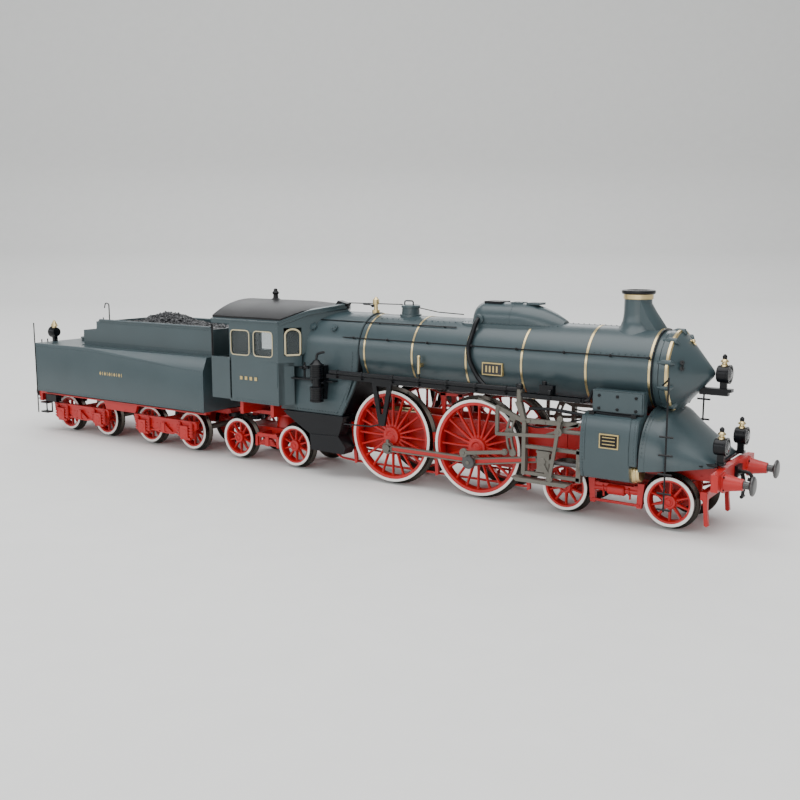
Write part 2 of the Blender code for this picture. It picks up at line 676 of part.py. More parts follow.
def make_front_beam():
    low, high = BEAM_Z
    mid, end = 7.0, BEAM_HALF_W
    outline = [(-end, low), (-mid, low + 0.8), (mid, low + 0.8), (end, low), (end, high - 0.6),
               (mid, high), (-mid, high), (-end, high - 0.6)]
    parts = [prism("x", outline, BEAM_X - BEAM_T / 2, BEAM_X + BEAM_T / 2)]
    bores = []
    for side in (1, -1):
        centre = (side * BUFFER_Y, BUFFER_Z)
        parts.append(turned("x", centre, [(BEAM_X, 2.7), (BEAM_X + 1.6, 2.4),
                                          (BEAM_X + 4.2, 1.6)], 16))
        bores.append(disc("x", centre, BUFFER_STEM_R + PLAY, BEAM_X - 0.4, BEAM_X + 6, 12))
    parts.append(box((BEAM_X, BEAM_X + 3.4), (-0.5, 0.5), (12.2, 14.0)))
    make_piece("front_beam", cut(union(*parts), *bores), REDDED)


def make_buffer(name, side, front):
    """Sprung buffer; its stem slides in the housing on the beam."""
    face = BUFFER_FRONT_X if front else BUFFER_REAR_X
    away = 1 if front else -1
    root = BEAM_X + 1.1 if front else TENDER_BEAM_X - 0.3
    centre = (side * BUFFER_Y, BUFFER_Z)
    head_back = face - away * 0.9
    head = disc("x", centre, BUFFER_HEAD_R, *sorted((head_back, face)), 20)
    stem = disc("x", centre, BUFFER_STEM_R, *sorted((root, face - away * 0.3)), 12)
    make_piece(name, union(head, stem), METAL, (root, side * BUFFER_Y, BUFFER_Z))


def make_lamp(name, x, y, foot_z, body_z, tip_z, bracket):
    """Head lamp: drum facing forward, chimney on top, post below."""
    low, high = body_z
    r = 0.5 * (high - low)
    drum = disc("x", (y, 0.5 * (low + high)), r, x - 1.8, x + 1.7, 16)
    neck = disc("z", (x - 0.2, y), 0.95, high - 0.6, tip_z, 10)
    post = box((x - 0.7, x + 0.5), (y - 0.7, y + 0.7), (foot_z, low + 0.5))
    parts = [drum, neck, post]
    if bracket:
        parts.append(box((bracket, x + 2.0), (y - 1.0, y + 1.0), (foot_z, foot_z + 0.9)))
    make_piece(name, union(*parts), BLACKED)


def make_running_board(name, side):
    low, high = BOARD_Z
    tube = box(BOARD_X, BOARD_Y, (low, high))
    leg = prism("y", [(-3.4, low + 0.5), (3.4, low + 0.5), (0.9, 16.0), (-0.9, 16.0)],
                13.3, 14.2)
    make_piece(name, on_side(union(tube, leg), side), BLACKED)


def make_air_pump():
    centre = (-21.6, -(FIREBOX_HALF_W + 2.4))
    profile = [(20.2, 1.2), (20.8, 1.9), (25.0, 1.9), (25.6, 1.1), (27.2, 1.1), (27.8, 1.8),
               (31.6, 1.8), (32.8, 1.0)]
    make_piece("air_pump", turned("z", centre, profile, 12), BLACKED)


# ---------------------------------------------------------------- rods and valve gear
def eye_bar(p, q, half, ends, thick, bores):
    """A rod with an eye at each end; ends are the eyes' radii and bores their holes."""
    parts = [bar(p, q, half, thick)]
    parts += [disc("y", c, r, *thick, EYE_SIDES) for c, r in zip((p, q), ends)]
    holes = [disc("y", c, r, thick[0] - 1, thick[1] + 1, EYE_SIDES) for c, r in zip((p, q), bores)]
    return cut(union(*parts), *holes)


def pin_piece(name, side, body, centre):
    """A rod of the valve gear, drawn on the left, with its origin on its pin."""
    y = side * 0.5 * (SIDE_ROD_Y[0] + MAIN_ROD_Y[1])
    make_piece(name, on_side(body, side), METAL, (centre[0], y, centre[1]))


def make_side_rod(name, side):
    front, rear = crank_pin(FRONT_DRIVER_X, side), crank_pin(REAR_DRIVER_X, side)
    hole = PIN_R + PLAY
    pin_piece(name, side, eye_bar(front, rear, 0.95, (1.75, 1.75), SIDE_ROD_Y, (hole, hole)),
              front)


def main_rod_length():
    pin = crank_pin(FRONT_DRIVER_X, -1)
    return math.dist(pin, SMALL_END)


def crosshead_x(side):
    """Middle of the crosshead at rest, from the crank of its own side."""
    pin = crank_pin(FRONT_DRIVER_X, side)
    reach = math.sqrt(main_rod_length() ** 2 - (SMALL_END[1] - pin[1]) ** 2)
    return pin[0] + reach + CROSSHEAD_X - SMALL_END[0]


def make_main_rod(name, side):
    pin = crank_pin(FRONT_DRIVER_X, side)
    small = (crosshead_x(side) - CROSSHEAD_X + SMALL_END[0], SMALL_END[1])
    hole = PIN_R + PLAY
    pin_piece(name, side, eye_bar(pin, small, 0.85, (1.8, 1.4), MAIN_ROD_Y, (hole, 0.6)), pin)


def make_eccentric_rod(name, side):
    pin = return_pin(side)
    far = (pin[0] + 11.7, pin[1] + 1.6)
    body = eye_bar(pin, far, 0.5, (1.15, 0.8), ECC_ROD_Y, (0.6 + 0.25, 0.35))
    pin_piece(name, side, body, pin)


def make_crosshead(name, side):
    x = crosshead_x(side)
    half = CROSSHEAD_L / 2
    low, high = GUIDE_LOW_Z[1] + 0.2, GUIDE_HIGH_Z[0] - 0.2
    block = box((x - half, x + half), GUIDE_Y, (low, high))
    mid_y = 0.5 * (GUIDE_Y[0] + GUIDE_Y[1])
    piston = disc("x", (mid_y, PISTON_Z), 0.6, x, x + 14.5, 12)
    boss = box((x - 0.9, x + 0.9), (GUIDE_Y[1] - 0.2, GUIDE_Y[1] + 0.32), (11.0, 13.4))
    arm = bar((x, 12.0), (x + 1.9, LEVER_FOOT_Z), 0.5, (GUIDE_Y[1] + 0.08, GUIDE_Y[1] + 0.32))
    body = union(block, piston, boss, arm)
    make_piece(name, on_side(body, side), METAL, (x, side * mid_y, PISTON_Z))


def make_expansion_link(name, side):
    low, high = LINK_SPAN
    x, z = LINK_PIVOT
    plate = prism("y", [(x - 0.9, low), (x + 0.9, low), (x + 0.4, z), (x + 0.9, high),
                        (x - 0.9, high), (x - 1.6, z)], *LINK_Y)
    eye = disc("y", LINK_PIVOT, 1.5, *LINK_Y, 16)
    hole = disc("y", LINK_PIVOT, 0.55 + 0.25, LINK_Y[0] - 1, LINK_Y[1] + 1, 12)
    make_piece(name, on_side(cut(union(plate, eye), hole), side), METAL, (x, side * 14.0, z))


def make_combination_lever(name, side):
    x, z = LEVER_PIVOT
    lean = (crosshead_x(side) - CROSSHEAD_X) / (z - LEVER_FOOT_Z)
    top, foot = (x + 0.4 - lean * 3.2, z + 3.2), (x - 2.0 + lean * (z - LEVER_FOOT_Z), LEVER_FOOT_Z)
    body = union(bar(top, foot, 0.5, LEVER_Y), disc("y", LEVER_PIVOT, 1.1, *LEVER_Y, 12),
                 disc("y", foot, 0.8, *LEVER_Y, 12), disc("y", top, 0.8, *LEVER_Y, 12))
    hole = disc("y", LEVER_PIVOT, 0.45 + 0.2, LEVER_Y[0] - 1, LEVER_Y[1] + 1, 12)
    make_piece(name, on_side(cut(body, hole), side), METAL, (x, side * 15.7, z))


def make_motion_bracket(name, side):
    """Guide bars with their stand, the fixed radius rod and the pins of link and lever."""
    rear = (GUIDE_X[0], GUIDE_X[0] + 1.2)
    parts = [box(rear, GUIDE_Y, (GUIDE_LOW_Z[0], BOARD_Z[0] - GAP)),
             box(GUIDE_X, GUIDE_Y, GUIDE_LOW_Z), box(GUIDE_X, GUIDE_Y, GUIDE_HIGH_Z),
             bar((35.4, 24.9), (57.0, 22.6), 0.7, (13.8, 14.7)),
             bar((36.0, 18.4), (52.0, 19.3), 0.45, (14.65, 15.2)),
             disc("y", LINK_PIVOT, 0.55, LINK_Y[0] - 0.1, 14.9, 10),
             bar((LEVER_PIVOT[0], 23.2), LEVER_PIVOT, 0.7, (14.0, 15.1)),
             disc("y", LEVER_PIVOT, 0.45, 14.6, LEVER_Y[1] + 0.15, 10)]
    make_piece(name, on_side(union(*parts), side), METAL)


# ---------------------------------------------------------------- bogies
def make_inside_bogie(name, x, base, ends, boss_top, guards):
    """Inside-framed bogie under the locomotive: a block with axle holes and a centre boss."""
    block = box((x - ends[0], x + ends[1]), (-4.5, 4.5), (3.6, 9.3))
    boss = disc("z", (x, 0), 3.0, 9.0, boss_top, 16)
    parts = [block, boss]
    if guards:
        front = x + ends[1]
        parts.append(box((front - 0.6, front + 0.6), (-8.8, 8.8), (7.2, 9.3)))
        for side in (1, -1):
            parts.append(on_side(prism("y", [(front - 0.4, 9.0), (front + 0.5, 9.0),
                                             (front + 0.9, 1.0), (front + 0.2, 1.0)],
                                       7.6, 8.8), side))
    hole_r = CARRIER_AXLE_R + PLAY
    holes = [disc("y", (x + s * base / 2, CARRIER_R), hole_r, -6, 6, 12) for s in (1, -1)]
    centre = disc("z", (x, 0), PIVOT_R + PLAY, 9.9, boss_top + 1, 16)
    make_piece(name, cut(union(*parts), *holes, centre), REDDED, (x, 0, boss_top))


def make_tender_bogie(name, x):
    """Outside-framed bogie under the tender: two side frames on a cross bolster."""
    frame_y = (11.2, 12.5)
    half = TENDER_BASE / 2
    parts = [box((x - 2.1, x + 2.1), (-12.0, 12.0), (4.6, 9.4)),
             disc("z", (x, 0), 2.6, 9.0, 10.3, 16)]
    for side in (1, -1):
        outline = [(x - half - 4.4, 5.0), (x - half - 2.4, 3.6), (x - half + 2.4, 3.6),
                   (x - 2.5, 4.6), (x + 2.5, 4.6), (x + half - 2.4, 3.6), (x + half + 2.4, 3.6),
                   (x + half + 4.4, 5.0), (x + half + 4.4, 8.2), (x - half - 4.4, 8.2)]
        parts.append(on_side(prism("y", outline, *frame_y), side))
        for s in (1, -1):
            axle_x = x + s * half
            parts.append(on_side(box((axle_x - 1.6, axle_x + 1.6), (12.2, 13.6), (3.3, 8.6)),
                                 side))
    centre = disc("z", (x, 0), PIVOT_R + PLAY, 7.6, 11.0, 16)
    make_piece(name, cut(union(*parts), centre), REDDED, (x, 0, 10.3))


# ---------------------------------------------------------------- tender
def make_drawbar():
    a, b = DRAWBAR_ENGINE_X, DRAWBAR_TENDER_X
    parts = [box((b, a), (-1.5, 1.5), (10.3, 11.6))]
    parts += [disc("z", (x, 0), 2.7, 10.3, 11.6) for x in (a, b)]
    holes = [disc("z", (x, 0), PIVOT_R + PLAY, 9, 13) for x in (a, b)]
    make_piece("drawbar", cut(union(*parts), *holes), BLACKED, (a, 0, 11.0))


def make_tender_frame():
    low = TANK_Z[0] - GAP
    inside = TANK_HALF_W - TANK_WALL - 0.5
    plate = box((TANK_REAR_X + TANK_WALL + 0.5, TANK_FRONT_X - TANK_WALL - 0.5),
                (-inside, inside), (low - 0.3, low + 1.2))
    spine = box((TENDER_BEAM_X + 0.5, DRAWBAR_TENDER_X + 1.6), (-4.6, 4.6), (11.9, low))
    rear_end = box((TENDER_BEAM_X + 0.5, TENDER_BEAM_X + 5.5), (-4.6, 4.6), (11.0, 12.4))
    beam = box((TENDER_BEAM_X, TENDER_BEAM_X + 1.5), (-BEAM_HALF_W, BEAM_HALF_W), (9.8, 15.0))
    parts = [plate, spine, rear_end, beam]
    for x in (TENDER_BOGIE_FRONT_X, TENDER_BOGIE_REAR_X):
        parts.append(disc("z", (x, 0), 2.6, 10.9, 12.4, 16))
        parts.append(disc("z", (x, 0), PIVOT_R, 8.2, 12.2, 12))
    parts.append(disc("z", (DRAWBAR_TENDER_X, 0), PIVOT_R, 10.0, 12.2, 12))
    parts.append(disc("z", (TENDER_BEAM_X + 3.6, 0), 0.9, 7.7, 11.5, 12))
    bores = []
    for side in (1, -1):
        centre = (side * BUFFER_Y, BUFFER_Z)
        parts.append(turned("x", centre, [(TENDER_BEAM_X - 2.6, 1.7), (TENDER_BEAM_X - 1.0, 1.9),
                                          (TENDER_BEAM_X + 0.5, 1.9)], 16))
        bores.append(disc("x", centre, BUFFER_STEM_R + PLAY, TENDER_BEAM_X - 5,
                          TENDER_BEAM_X + 3, 12))
    make_piece("tender_frame", cut(union(*parts), *bores), REDDED)


def tank_section(x, crease_z, lean):
    """Tender tank side with its top edge leaning in above a crease."""
    low, high = TANK_Z
    half = TANK_HALF_W
    right = [(half, low), (half, crease_z), (half - lean, high)]
    return [(x, y, z) for y, z in right + [(-y, z) for y, z in right[::-1]]]


def make_tender_tank():
    low, high = TANK_Z
    tank = loft([tank_section(TANK_REAR_X, high - 0.25, 0.1),
                 tank_section(-116.8, high - 0.25, 0.1),
                 tank_section(TANK_FRONT_X, 26.2, 1.8)])
    half = BUNKER_HALF_W
    bunker = box((BUNKER_STEP_X, BUNKER_FRONT_X), (-half, half), (high - 1, BUNKER_TOP_Z))
    low_part = box((BUNKER_REAR_X, BUNKER_STEP_X + 1), (-half, half), (high - 1, BUNKER_LOW_Z))
    filler = disc("z", (-136.5, 0), 3.0, high - 1, high + 1.4, 16)
    lamp = disc("x", (-8.5, 33.6), 2.0, TANK_REAR_X - 1.2, TANK_REAR_X + 1.6, 12)
    post = box((TANK_REAR_X - 0.5, TANK_REAR_X + 0.9), (-9.3, -7.7), (high - 1, 33))
    neck = disc("z", (TANK_REAR_X + 0.2, -8.5), 0.9, 35.0, 37.6, 10)
    wall = TANK_WALL
    inner = box((TANK_REAR_X + wall, TANK_FRONT_X - wall),
                (wall - TANK_HALF_W, TANK_HALF_W - wall), (low - 1, 24.6))
    pit = box((BUNKER_STEP_X + BUNKER_WALL, BUNKER_FRONT_X - BUNKER_WALL),
              (BUNKER_WALL - half, half - BUNKER_WALL), (high + 1.6, BUNKER_TOP_Z + 3))
    body = union(tank, bunker, low_part, filler, lamp, post, neck)
    make_piece("tender_tank", cut(body, inner, pit), PAINTED)


def make_coal_load():
    x0 = BUNKER_STEP_X + BUNKER_WALL + GAP
    x1 = BUNKER_FRONT_X - BUNKER_WALL - GAP
    y = BUNKER_HALF_W - BUNKER_WALL - GAP
    loops = []
    for inset_rear, inset_front, inset_y, z in ((0, 0, 0, TANK_Z[1] + 1.6 + GAP),
                                                (0, 0, 0, BUNKER_TOP_Z - 1.6),
                                                (5, 12, 2.5, BUNKER_TOP_Z + 1.6),
                                                (12, 22, 6.0, COAL_TOP_Z)):
        a, b, w = x0 + inset_rear, x1 - inset_front, y - inset_y
        loops.append([(a, -w, z), (b, -w, z), (b, w, z), (a, w, z)])
    make_piece("coal_load", loft(loops), COALED)


def make_circuit_board():
    board = box((-120.0, -82.0), (-8.0, 8.0), (17.0, 18.2))
    chip = box((-104.0, -92.0), (-4.0, 4.0), (18.0, 20.4))
    make_piece("circuit_board", union(board, chip), BOARDED)


def make_rear_coupler():
    pin_x = TENDER_BEAM_X + 3.6
    arm = box((BUFFER_REAR_X + 1.5, pin_x), (-1.5, 1.5), (8.0, 9.4))
    eye = disc("z", (pin_x, 0), 2.2, 8.0, 9.4, 16)
    head = box((BUFFER_REAR_X + 0.3, BUFFER_REAR_X + 3.0), (-2.2, 2.2), (7.6, 10.2))
    hole = disc("z", (pin_x, 0), 0.9 + PLAY, 7, 11, 12)
    make_piece("rear_coupler", cut(union(arm, eye, head), hole), BLACKED, (pin_x, 0, 9.0))


# ---------------------------------------------------------------- the whole train
def build():
    make_main_frame()
    make_motor()
    make_worm_shaft()
    make_boiler()
    make_smokebox_door()
    make_chimney()
    make_dome_casing()
    make_whistle()
    make_firebox_casing()
    make_ashpan()
    make_cab_shell()
    make_cab_roof()
    make_front_apron()
    make_front_beam()
    make_air_pump()
    make_lamp("lamp_top", 86.5, 0.0, 30.5, (33.6, 38.2), 41.1, 81.9)
    make_lamp("lamp_left", 88.9, 7.9, BEAM_Z[1] + GAP, (17.9, 21.9), 24.8, None)
    make_lamp("lamp_right", 88.9, -7.9, BEAM_Z[1] + GAP, (17.9, 21.9), 24.8, None)
    driving_wheelset("driver_front", FRONT_DRIVER_X, True)
    driving_wheelset("driver_rear", REAR_DRIVER_X, False)
    for side, word in ((1, "left"), (-1, "right")):
        make_cylinder("cylinder_" + word, side)
        make_running_board("running_board_" + word, side)
        make_motion_bracket("motion_bracket_" + word, side)
        make_side_rod("side_rod_" + word, side)
        make_main_rod("main_rod_" + word, side)
        make_eccentric_rod("eccentric_rod_" + word, side)
        make_crosshead("crosshead_" + word, side)
        make_expansion_link("expansion_link_" + word, side)
        make_combination_lever("combination_lever_" + word, side)
        make_buffer("front_buffer_" + word, side, True)
        make_buffer("rear_buffer_" + word, side, False)
    make_inside_bogie("leading_bogie", LEAD_BOGIE_X, LEAD_BASE, (17.0, 21.0), 13.6, True)
    carrying_wheelset("leading_wheels_front", LEAD_BOGIE_X + LEAD_BASE / 2, carrying_wheel, 0)
    carrying_wheelset("leading_wheels_rear", LEAD_BOGIE_X - LEAD_BASE / 2, carrying_wheel, 0)
    make_inside_bogie("trailing_bogie", TRAIL_BOGIE_X, TRAIL_BASE, (13.6, 13.6), 12.7, False)
    carrying_wheelset("trailing_wheels_front", TRAIL_BOGIE_X + TRAIL_BASE / 2, carrying_wheel, 0)
    carrying_wheelset("trailing_wheels_rear", TRAIL_BOGIE_X - TRAIL_BASE / 2, carrying_wheel, 0)
    make_drawbar()
    make_tender_frame()
    make_tender_tank()
    make_coal_load()
    make_circuit_board()
    make_rear_coupler()
    number = 0
    for word, x in (("front", TENDER_BOGIE_FRONT_X), ("rear", TENDER_BOGIE_REAR_X)):
        make_tender_bogie("tender_bogie_" + word, x)
        for s in (1, -1):
            number += 1
            carrying_wheelset("tender_wheels_%d" % number, x + s * TENDER_BASE / 2,
                              plain_wheel, 1.0)


for old in list(bpy.data.objects):
    bpy.data.objects.remove(old)
TRAIN = bpy.data.objects.new("train", None)
bpy.context.scene.collection.objects.link(TRAIN)
TRAIN.location = (-TRAIN_MIDDLE_X * MM, 0.0, FLANGE * MM)
build()
bpy.context.view_layer.update()
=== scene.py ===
# %% [markdown]
# # A streamlined express locomotive and its tender, in 1:87
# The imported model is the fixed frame: it says where every axle, casing and buffer is. This
# script dresses it. Each piece is drawn in millimetres, measured forward from the rear
# driving axle and up from the rail head, which is how a model maker reads a drawing.

# %% Load the frame
import math
import random

import bmesh
import bpy
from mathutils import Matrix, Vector


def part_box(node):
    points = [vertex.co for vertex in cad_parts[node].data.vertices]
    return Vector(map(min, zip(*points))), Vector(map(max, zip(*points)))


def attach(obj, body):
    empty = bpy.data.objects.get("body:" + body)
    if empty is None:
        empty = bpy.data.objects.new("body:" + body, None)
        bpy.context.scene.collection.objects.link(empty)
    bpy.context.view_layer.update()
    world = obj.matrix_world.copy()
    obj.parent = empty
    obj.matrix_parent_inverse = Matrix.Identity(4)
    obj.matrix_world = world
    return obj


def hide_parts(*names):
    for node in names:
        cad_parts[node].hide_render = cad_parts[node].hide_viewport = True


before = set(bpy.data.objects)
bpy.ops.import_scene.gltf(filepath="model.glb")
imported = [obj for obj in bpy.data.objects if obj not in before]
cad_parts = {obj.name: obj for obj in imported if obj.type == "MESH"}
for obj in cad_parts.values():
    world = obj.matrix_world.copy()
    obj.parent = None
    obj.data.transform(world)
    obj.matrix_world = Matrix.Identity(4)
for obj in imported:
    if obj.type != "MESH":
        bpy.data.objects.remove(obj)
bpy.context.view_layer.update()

low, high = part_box("driver_rear")
MM = 0.001
TURN = 2.0 * math.pi
DRIVER_R = 12.65
FLANGE = 0.8
AXLE_X = 0.5 * (low.x + high.x) / MM
RAIL_Z = FLANGE
print("rear driving axle stands at x = %.2f mm" % AXLE_X)

# %% [markdown]
# ## Small mesh tools
# Every shape is a closed skin of loops. A loop is a list of points, and a loft joins loops
# one after the other. Overlapping closed skins in one piece are fine for looks, so there is
# no need for Booleans, and each skin keeps the clean edges that catch a highlight.


# %% Loops, prisms and turned shapes
def loft(bm, loops, mat=0, bevel=0.0, closed=False):
    """Skin equal loops; cap both ends unless the loft closes on itself."""
    n = len(loops[0])
    rings = [[bm.verts.new(p) for p in loop] for loop in loops]
    faces = []
    if not closed:
        faces += [bm.faces.new(rings[0][::-1]), bm.faces.new(rings[-1])]
    pairs = list(zip(rings, rings[1:])) + ([(rings[-1], rings[0])] if closed else [])
    for a, b in pairs:
        for i in range(n):
            j = (i + 1) % n
            faces.append(bm.faces.new((a[i], a[j], b[j], b[i])))
    for f in faces:
        f.material_index = mat
    if bevel:
        edges = [e for e in {e for f in faces for e in f.edges}
                 if len(e.link_faces) == 2 and e.calc_face_angle(0) > 0.5]
        bmesh.ops.recalc_face_normals(bm, faces=faces)
        bmesh.ops.bevel(bm, geom=edges, offset=bevel, segments=1, affect="EDGES",
                        clamp_overlap=True, material=-1)
    return bm


def at(axis, a, u, v):
    """A point from its place along an axis and its other two coordinates, in order."""
    return {"x": (a, u, v), "y": (u, a, v), "z": (u, v, a)}[axis]


def prism(bm, axis, outline, a, b, mat=0, bevel=0.0):
    """A flat outline pulled from a to b along an axis."""
    return loft(bm, [[at(axis, t, u, v) for u, v in outline] for t in (a, b)], mat, bevel)


def box(bm, x, y, z, mat=0, bevel=0.0):
    outline = [(x[0], y[0]), (x[1], y[0]), (x[1], y[1]), (x[0], y[1])]
    return prism(bm, "z", outline, z[0], z[1], mat, bevel)


def ring(centre, radius, n, start=0.0):
    return [(centre[0] + radius * math.cos(start + TURN * i / n),
             centre[1] + radius * math.sin(start + TURN * i / n)) for i in range(n)]


def turned(bm, axis, centre, profile, n=32, mat=0, closed=False):
    """A lathe shape from (place along the axis, radius) stations."""
    loops = [[at(axis, a, u, v) for u, v in ring(centre, max(r, 0.002), n)] for a, r in profile]
    return loft(bm, loops, mat, closed=closed)


def disc(bm, axis, centre, radius, a, b, n=24, mat=0, edge=0.0):
    """A round bar with an optional chamfer at both ends."""
    a, b = min(a, b), max(a, b)
    if edge:
        profile = [(a, radius - edge), (a + edge, radius), (b - edge, radius), (b, radius - edge)]
    else:
        profile = [(a, radius), (b, radius)]
    return turned(bm, axis, centre, profile, n, mat)


def tube(bm, points, radius, n=8, mat=0, closed=False):
    """A round wire along a path; the radius may be a list, one for each point."""
    points = [Vector(p) for p in points]
    radii = radius if isinstance(radius, (list, tuple)) else [radius] * len(points)
    loops, side = [], None
    for i, p in enumerate(points):
        ahead = points[min(i + 1, len(points) - 1)] - points[max(i - 1, 0)]
        ahead.normalize()
        side = ahead.orthogonal() if side is None else side - ahead * side.dot(ahead)
        side.normalize()
        other = ahead.cross(side)
        loops.append([tuple(p + side * (radii[i] * c) + other * (radii[i] * s))
                      for c, s in ring((0, 0), 1.0, n)])
    return loft(bm, loops, mat)


def ball(bm, centre, radius, n=12, mat=0, flat=1.0):
    """A small round knob, squashed along z by flat."""
    stations = [(centre[2] + radius * flat * math.sin(a), radius * math.cos(a))
                for a in [math.pi * (k / 8.0 - 0.5) for k in range(9)]]
    return turned(bm, "z", (centre[0], centre[1]), stations, n, mat)


def bar(bm, p, q, half, thick, mat=0, bevel=0.0, half2=None):
    """A flat bar in the x-z plane from p to q, half high at p and half2 at q."""
    half2 = half if half2 is None else half2
    dx, dz = q[0] - p[0], q[1] - p[1]
    size = math.hypot(dx, dz)
    ox, oz = -dz / size, dx / size
    outline = [(p[0] - ox * half, p[1] - oz * half), (q[0] - ox * half2, q[1] - oz * half2),
               (q[0] + ox * half2, q[1] + oz * half2), (p[0] + ox * half, p[1] + oz * half)]
    return prism(bm, "y", outline, thick[0], thick[1], mat, bevel)


def bent(points, steps=5, radius=1.5):
    """The same path with each corner rounded."""
    points = [Vector(p) for p in points]
    out = [points[0]]
    for a, b, c in zip(points, points[1:], points[2:]):
        r = min(radius, 0.45 * (a - b).length, 0.45 * (c - b).length)
        p, q = b + (a - b).normalized() * r, b + (c - b).normalized() * r
        for k in range(steps + 1):
            t = k / steps
            out.append(p * (1 - t) ** 2 + b * 2 * t * (1 - t) + q * t * t)
    return out + [points[-1]]


# %% Turning a drawing into a piece
def place(v):
    return ((v[0] + AXLE_X) * MM, v[1] * MM, (v[2] + RAIL_Z) * MM)


made = {}


def piece(name, bm, mats, body, side=1, nodes=(), smooth=38):
    """A finished piece on its body. Side -1 draws it on the right-hand side."""
    for v in bm.verts:
        v.co = place((v.co.x, v.co.y * side, v.co.z))
    bmesh.ops.recalc_face_normals(bm, faces=bm.faces)
    mesh = bpy.data.meshes.new(name)
    bm.to_mesh(mesh)
    bm.free()
    return adopt(name, mesh, mats, body, nodes, smooth)


def adopt(name, mesh, mats, body, nodes=(), smooth=38):
    """Give a plain mesh its materials and hang it on its body."""
    mats = mats if isinstance(mats, (list, tuple)) else [mats]
    if mesh.materials:
        mesh.materials.clear()
    for m in mats:
        mesh.materials.append(m)
    mesh.shade_smooth()
    mesh.set_sharp_from_angle(angle=math.radians(smooth))
    thing = bpy.data.objects.new(name, mesh)
    bpy.context.scene.collection.objects.link(thing)
    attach(thing, body)
    if nodes:
        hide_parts(*nodes)
    made[name] = len(mesh.polygons)
    return thing


# %% [markdown]
# ## Finishes
# A factory-painted model is sprayed with satin lacquer. The colour barely changes, but the
# film is never perfect: a fine orange-peel grain breaks up the highlight, a broad cloud
# makes some patches a little duller, and dust gathers where nobody wipes. Each finish here
# is one shader with three noises on Object coordinates, so it stays put on its piece.


# %% Node helpers
def node(tree, kind, at_x=0, at_y=0, **inputs):
    n = tree.nodes.new(kind)
    n.location = (at_x, at_y)
    for key, value in inputs.items():
        n.inputs[key.replace("_", " ")].default_value = value
    return n


def finish(name, colour, rough, metallic=0.0, cloud=0.12, grain=0.04, grain_scale=4200.0,
           coat=0.0, dust=0.0, streak=None, specular=0.5):
    """A sprayed or machined surface: tone clouds, uneven gloss and a fine bump."""
    mat = bpy.data.materials.new(name)
    mat.use_nodes = True
    tree = mat.node_tree
    shader = tree.nodes["Principled BSDF"]
    shader.inputs["Metallic"].default_value = metallic
    shader.inputs["Coat Weight"].default_value = coat
    shader.inputs["Coat Roughness"].default_value = 0.25
    shader.inputs["Specular IOR Level"].default_value = specular
    where = node(tree, "ShaderNodeTexCoord", -1200)
    mapping = node(tree, "ShaderNodeMapping", -1050)
    mapping.inputs["Scale"].default_value = streak or (1, 1, 1)
    tree.links.new(where.outputs["Object"], mapping.inputs["Vector"])
    clouds = node(tree, "ShaderNodeTexNoise", -850, 200, Scale=90.0, Detail=5.0, Roughness=0.6)
    fine = node(tree, "ShaderNodeTexNoise", -850, -200, Scale=grain_scale, Detail=3.0,
                Roughness=0.65)
    tree.links.new(mapping.outputs["Vector"], clouds.inputs["Vector"])
    tree.links.new(mapping.outputs["Vector"], fine.inputs["Vector"])
    ramp = node(tree, "ShaderNodeValToRGB", -600, 200)
    tones = [tuple(c * (1 - cloud) for c in colour), tuple(min(1, c * (1 + cloud)) for c in colour)]
    for stop, tone, spot in zip(ramp.color_ramp.elements, tones, (0.3, 0.7)):
        stop.color = (*tone, 1.0)
        stop.position = spot
    tree.links.new(clouds.outputs["Fac"], ramp.inputs["Fac"])
    last = ramp.outputs["Color"]
    if dust:
        specks = node(tree, "ShaderNodeTexNoise", -850, 500, Scale=1500.0, Detail=6.0,
                      Roughness=0.75)
        tree.links.new(mapping.outputs["Vector"], specks.inputs["Vector"])
        gate = node(tree, "ShaderNodeMapRange", -600, 500)
        gate.inputs["From Min"].default_value = 0.60
        gate.inputs["From Max"].default_value = 0.74
        gate.inputs["To Max"].default_value = dust
        tree.links.new(specks.outputs["Fac"], gate.inputs["Value"])
        mix = node(tree, "ShaderNodeMix", -350, 300)
        mix.data_type = "RGBA"
        mix.inputs["B"].default_value = (0.42, 0.41, 0.38, 1.0)
        tree.links.new(gate.outputs["Result"], mix.inputs["Factor"])
        tree.links.new(last, mix.inputs["A"])
        last = mix.outputs["Result"]
    tree.links.new(last, shader.inputs["Base Color"])
    gloss = node(tree, "ShaderNodeMapRange", -600, -50)
    gloss.inputs["To Min"].default_value = max(0.02, rough - 0.07)
    gloss.inputs["To Max"].default_value = rough + 0.09
    tree.links.new(clouds.outputs["Fac"], gloss.inputs["Value"])
    tree.links.new(gloss.outputs["Result"], shader.inputs["Roughness"])
    bump = node(tree, "ShaderNodeBump", -350, -250)
    bump.inputs["Strength"].default_value = grain
    bump.inputs["Distance"].default_value = 0.0002
    tree.links.new(fine.outputs["Fac"], bump.inputs["Height"])
    tree.links.new(bump.outputs["Normal"], shader.inputs["Normal"])
    return mat


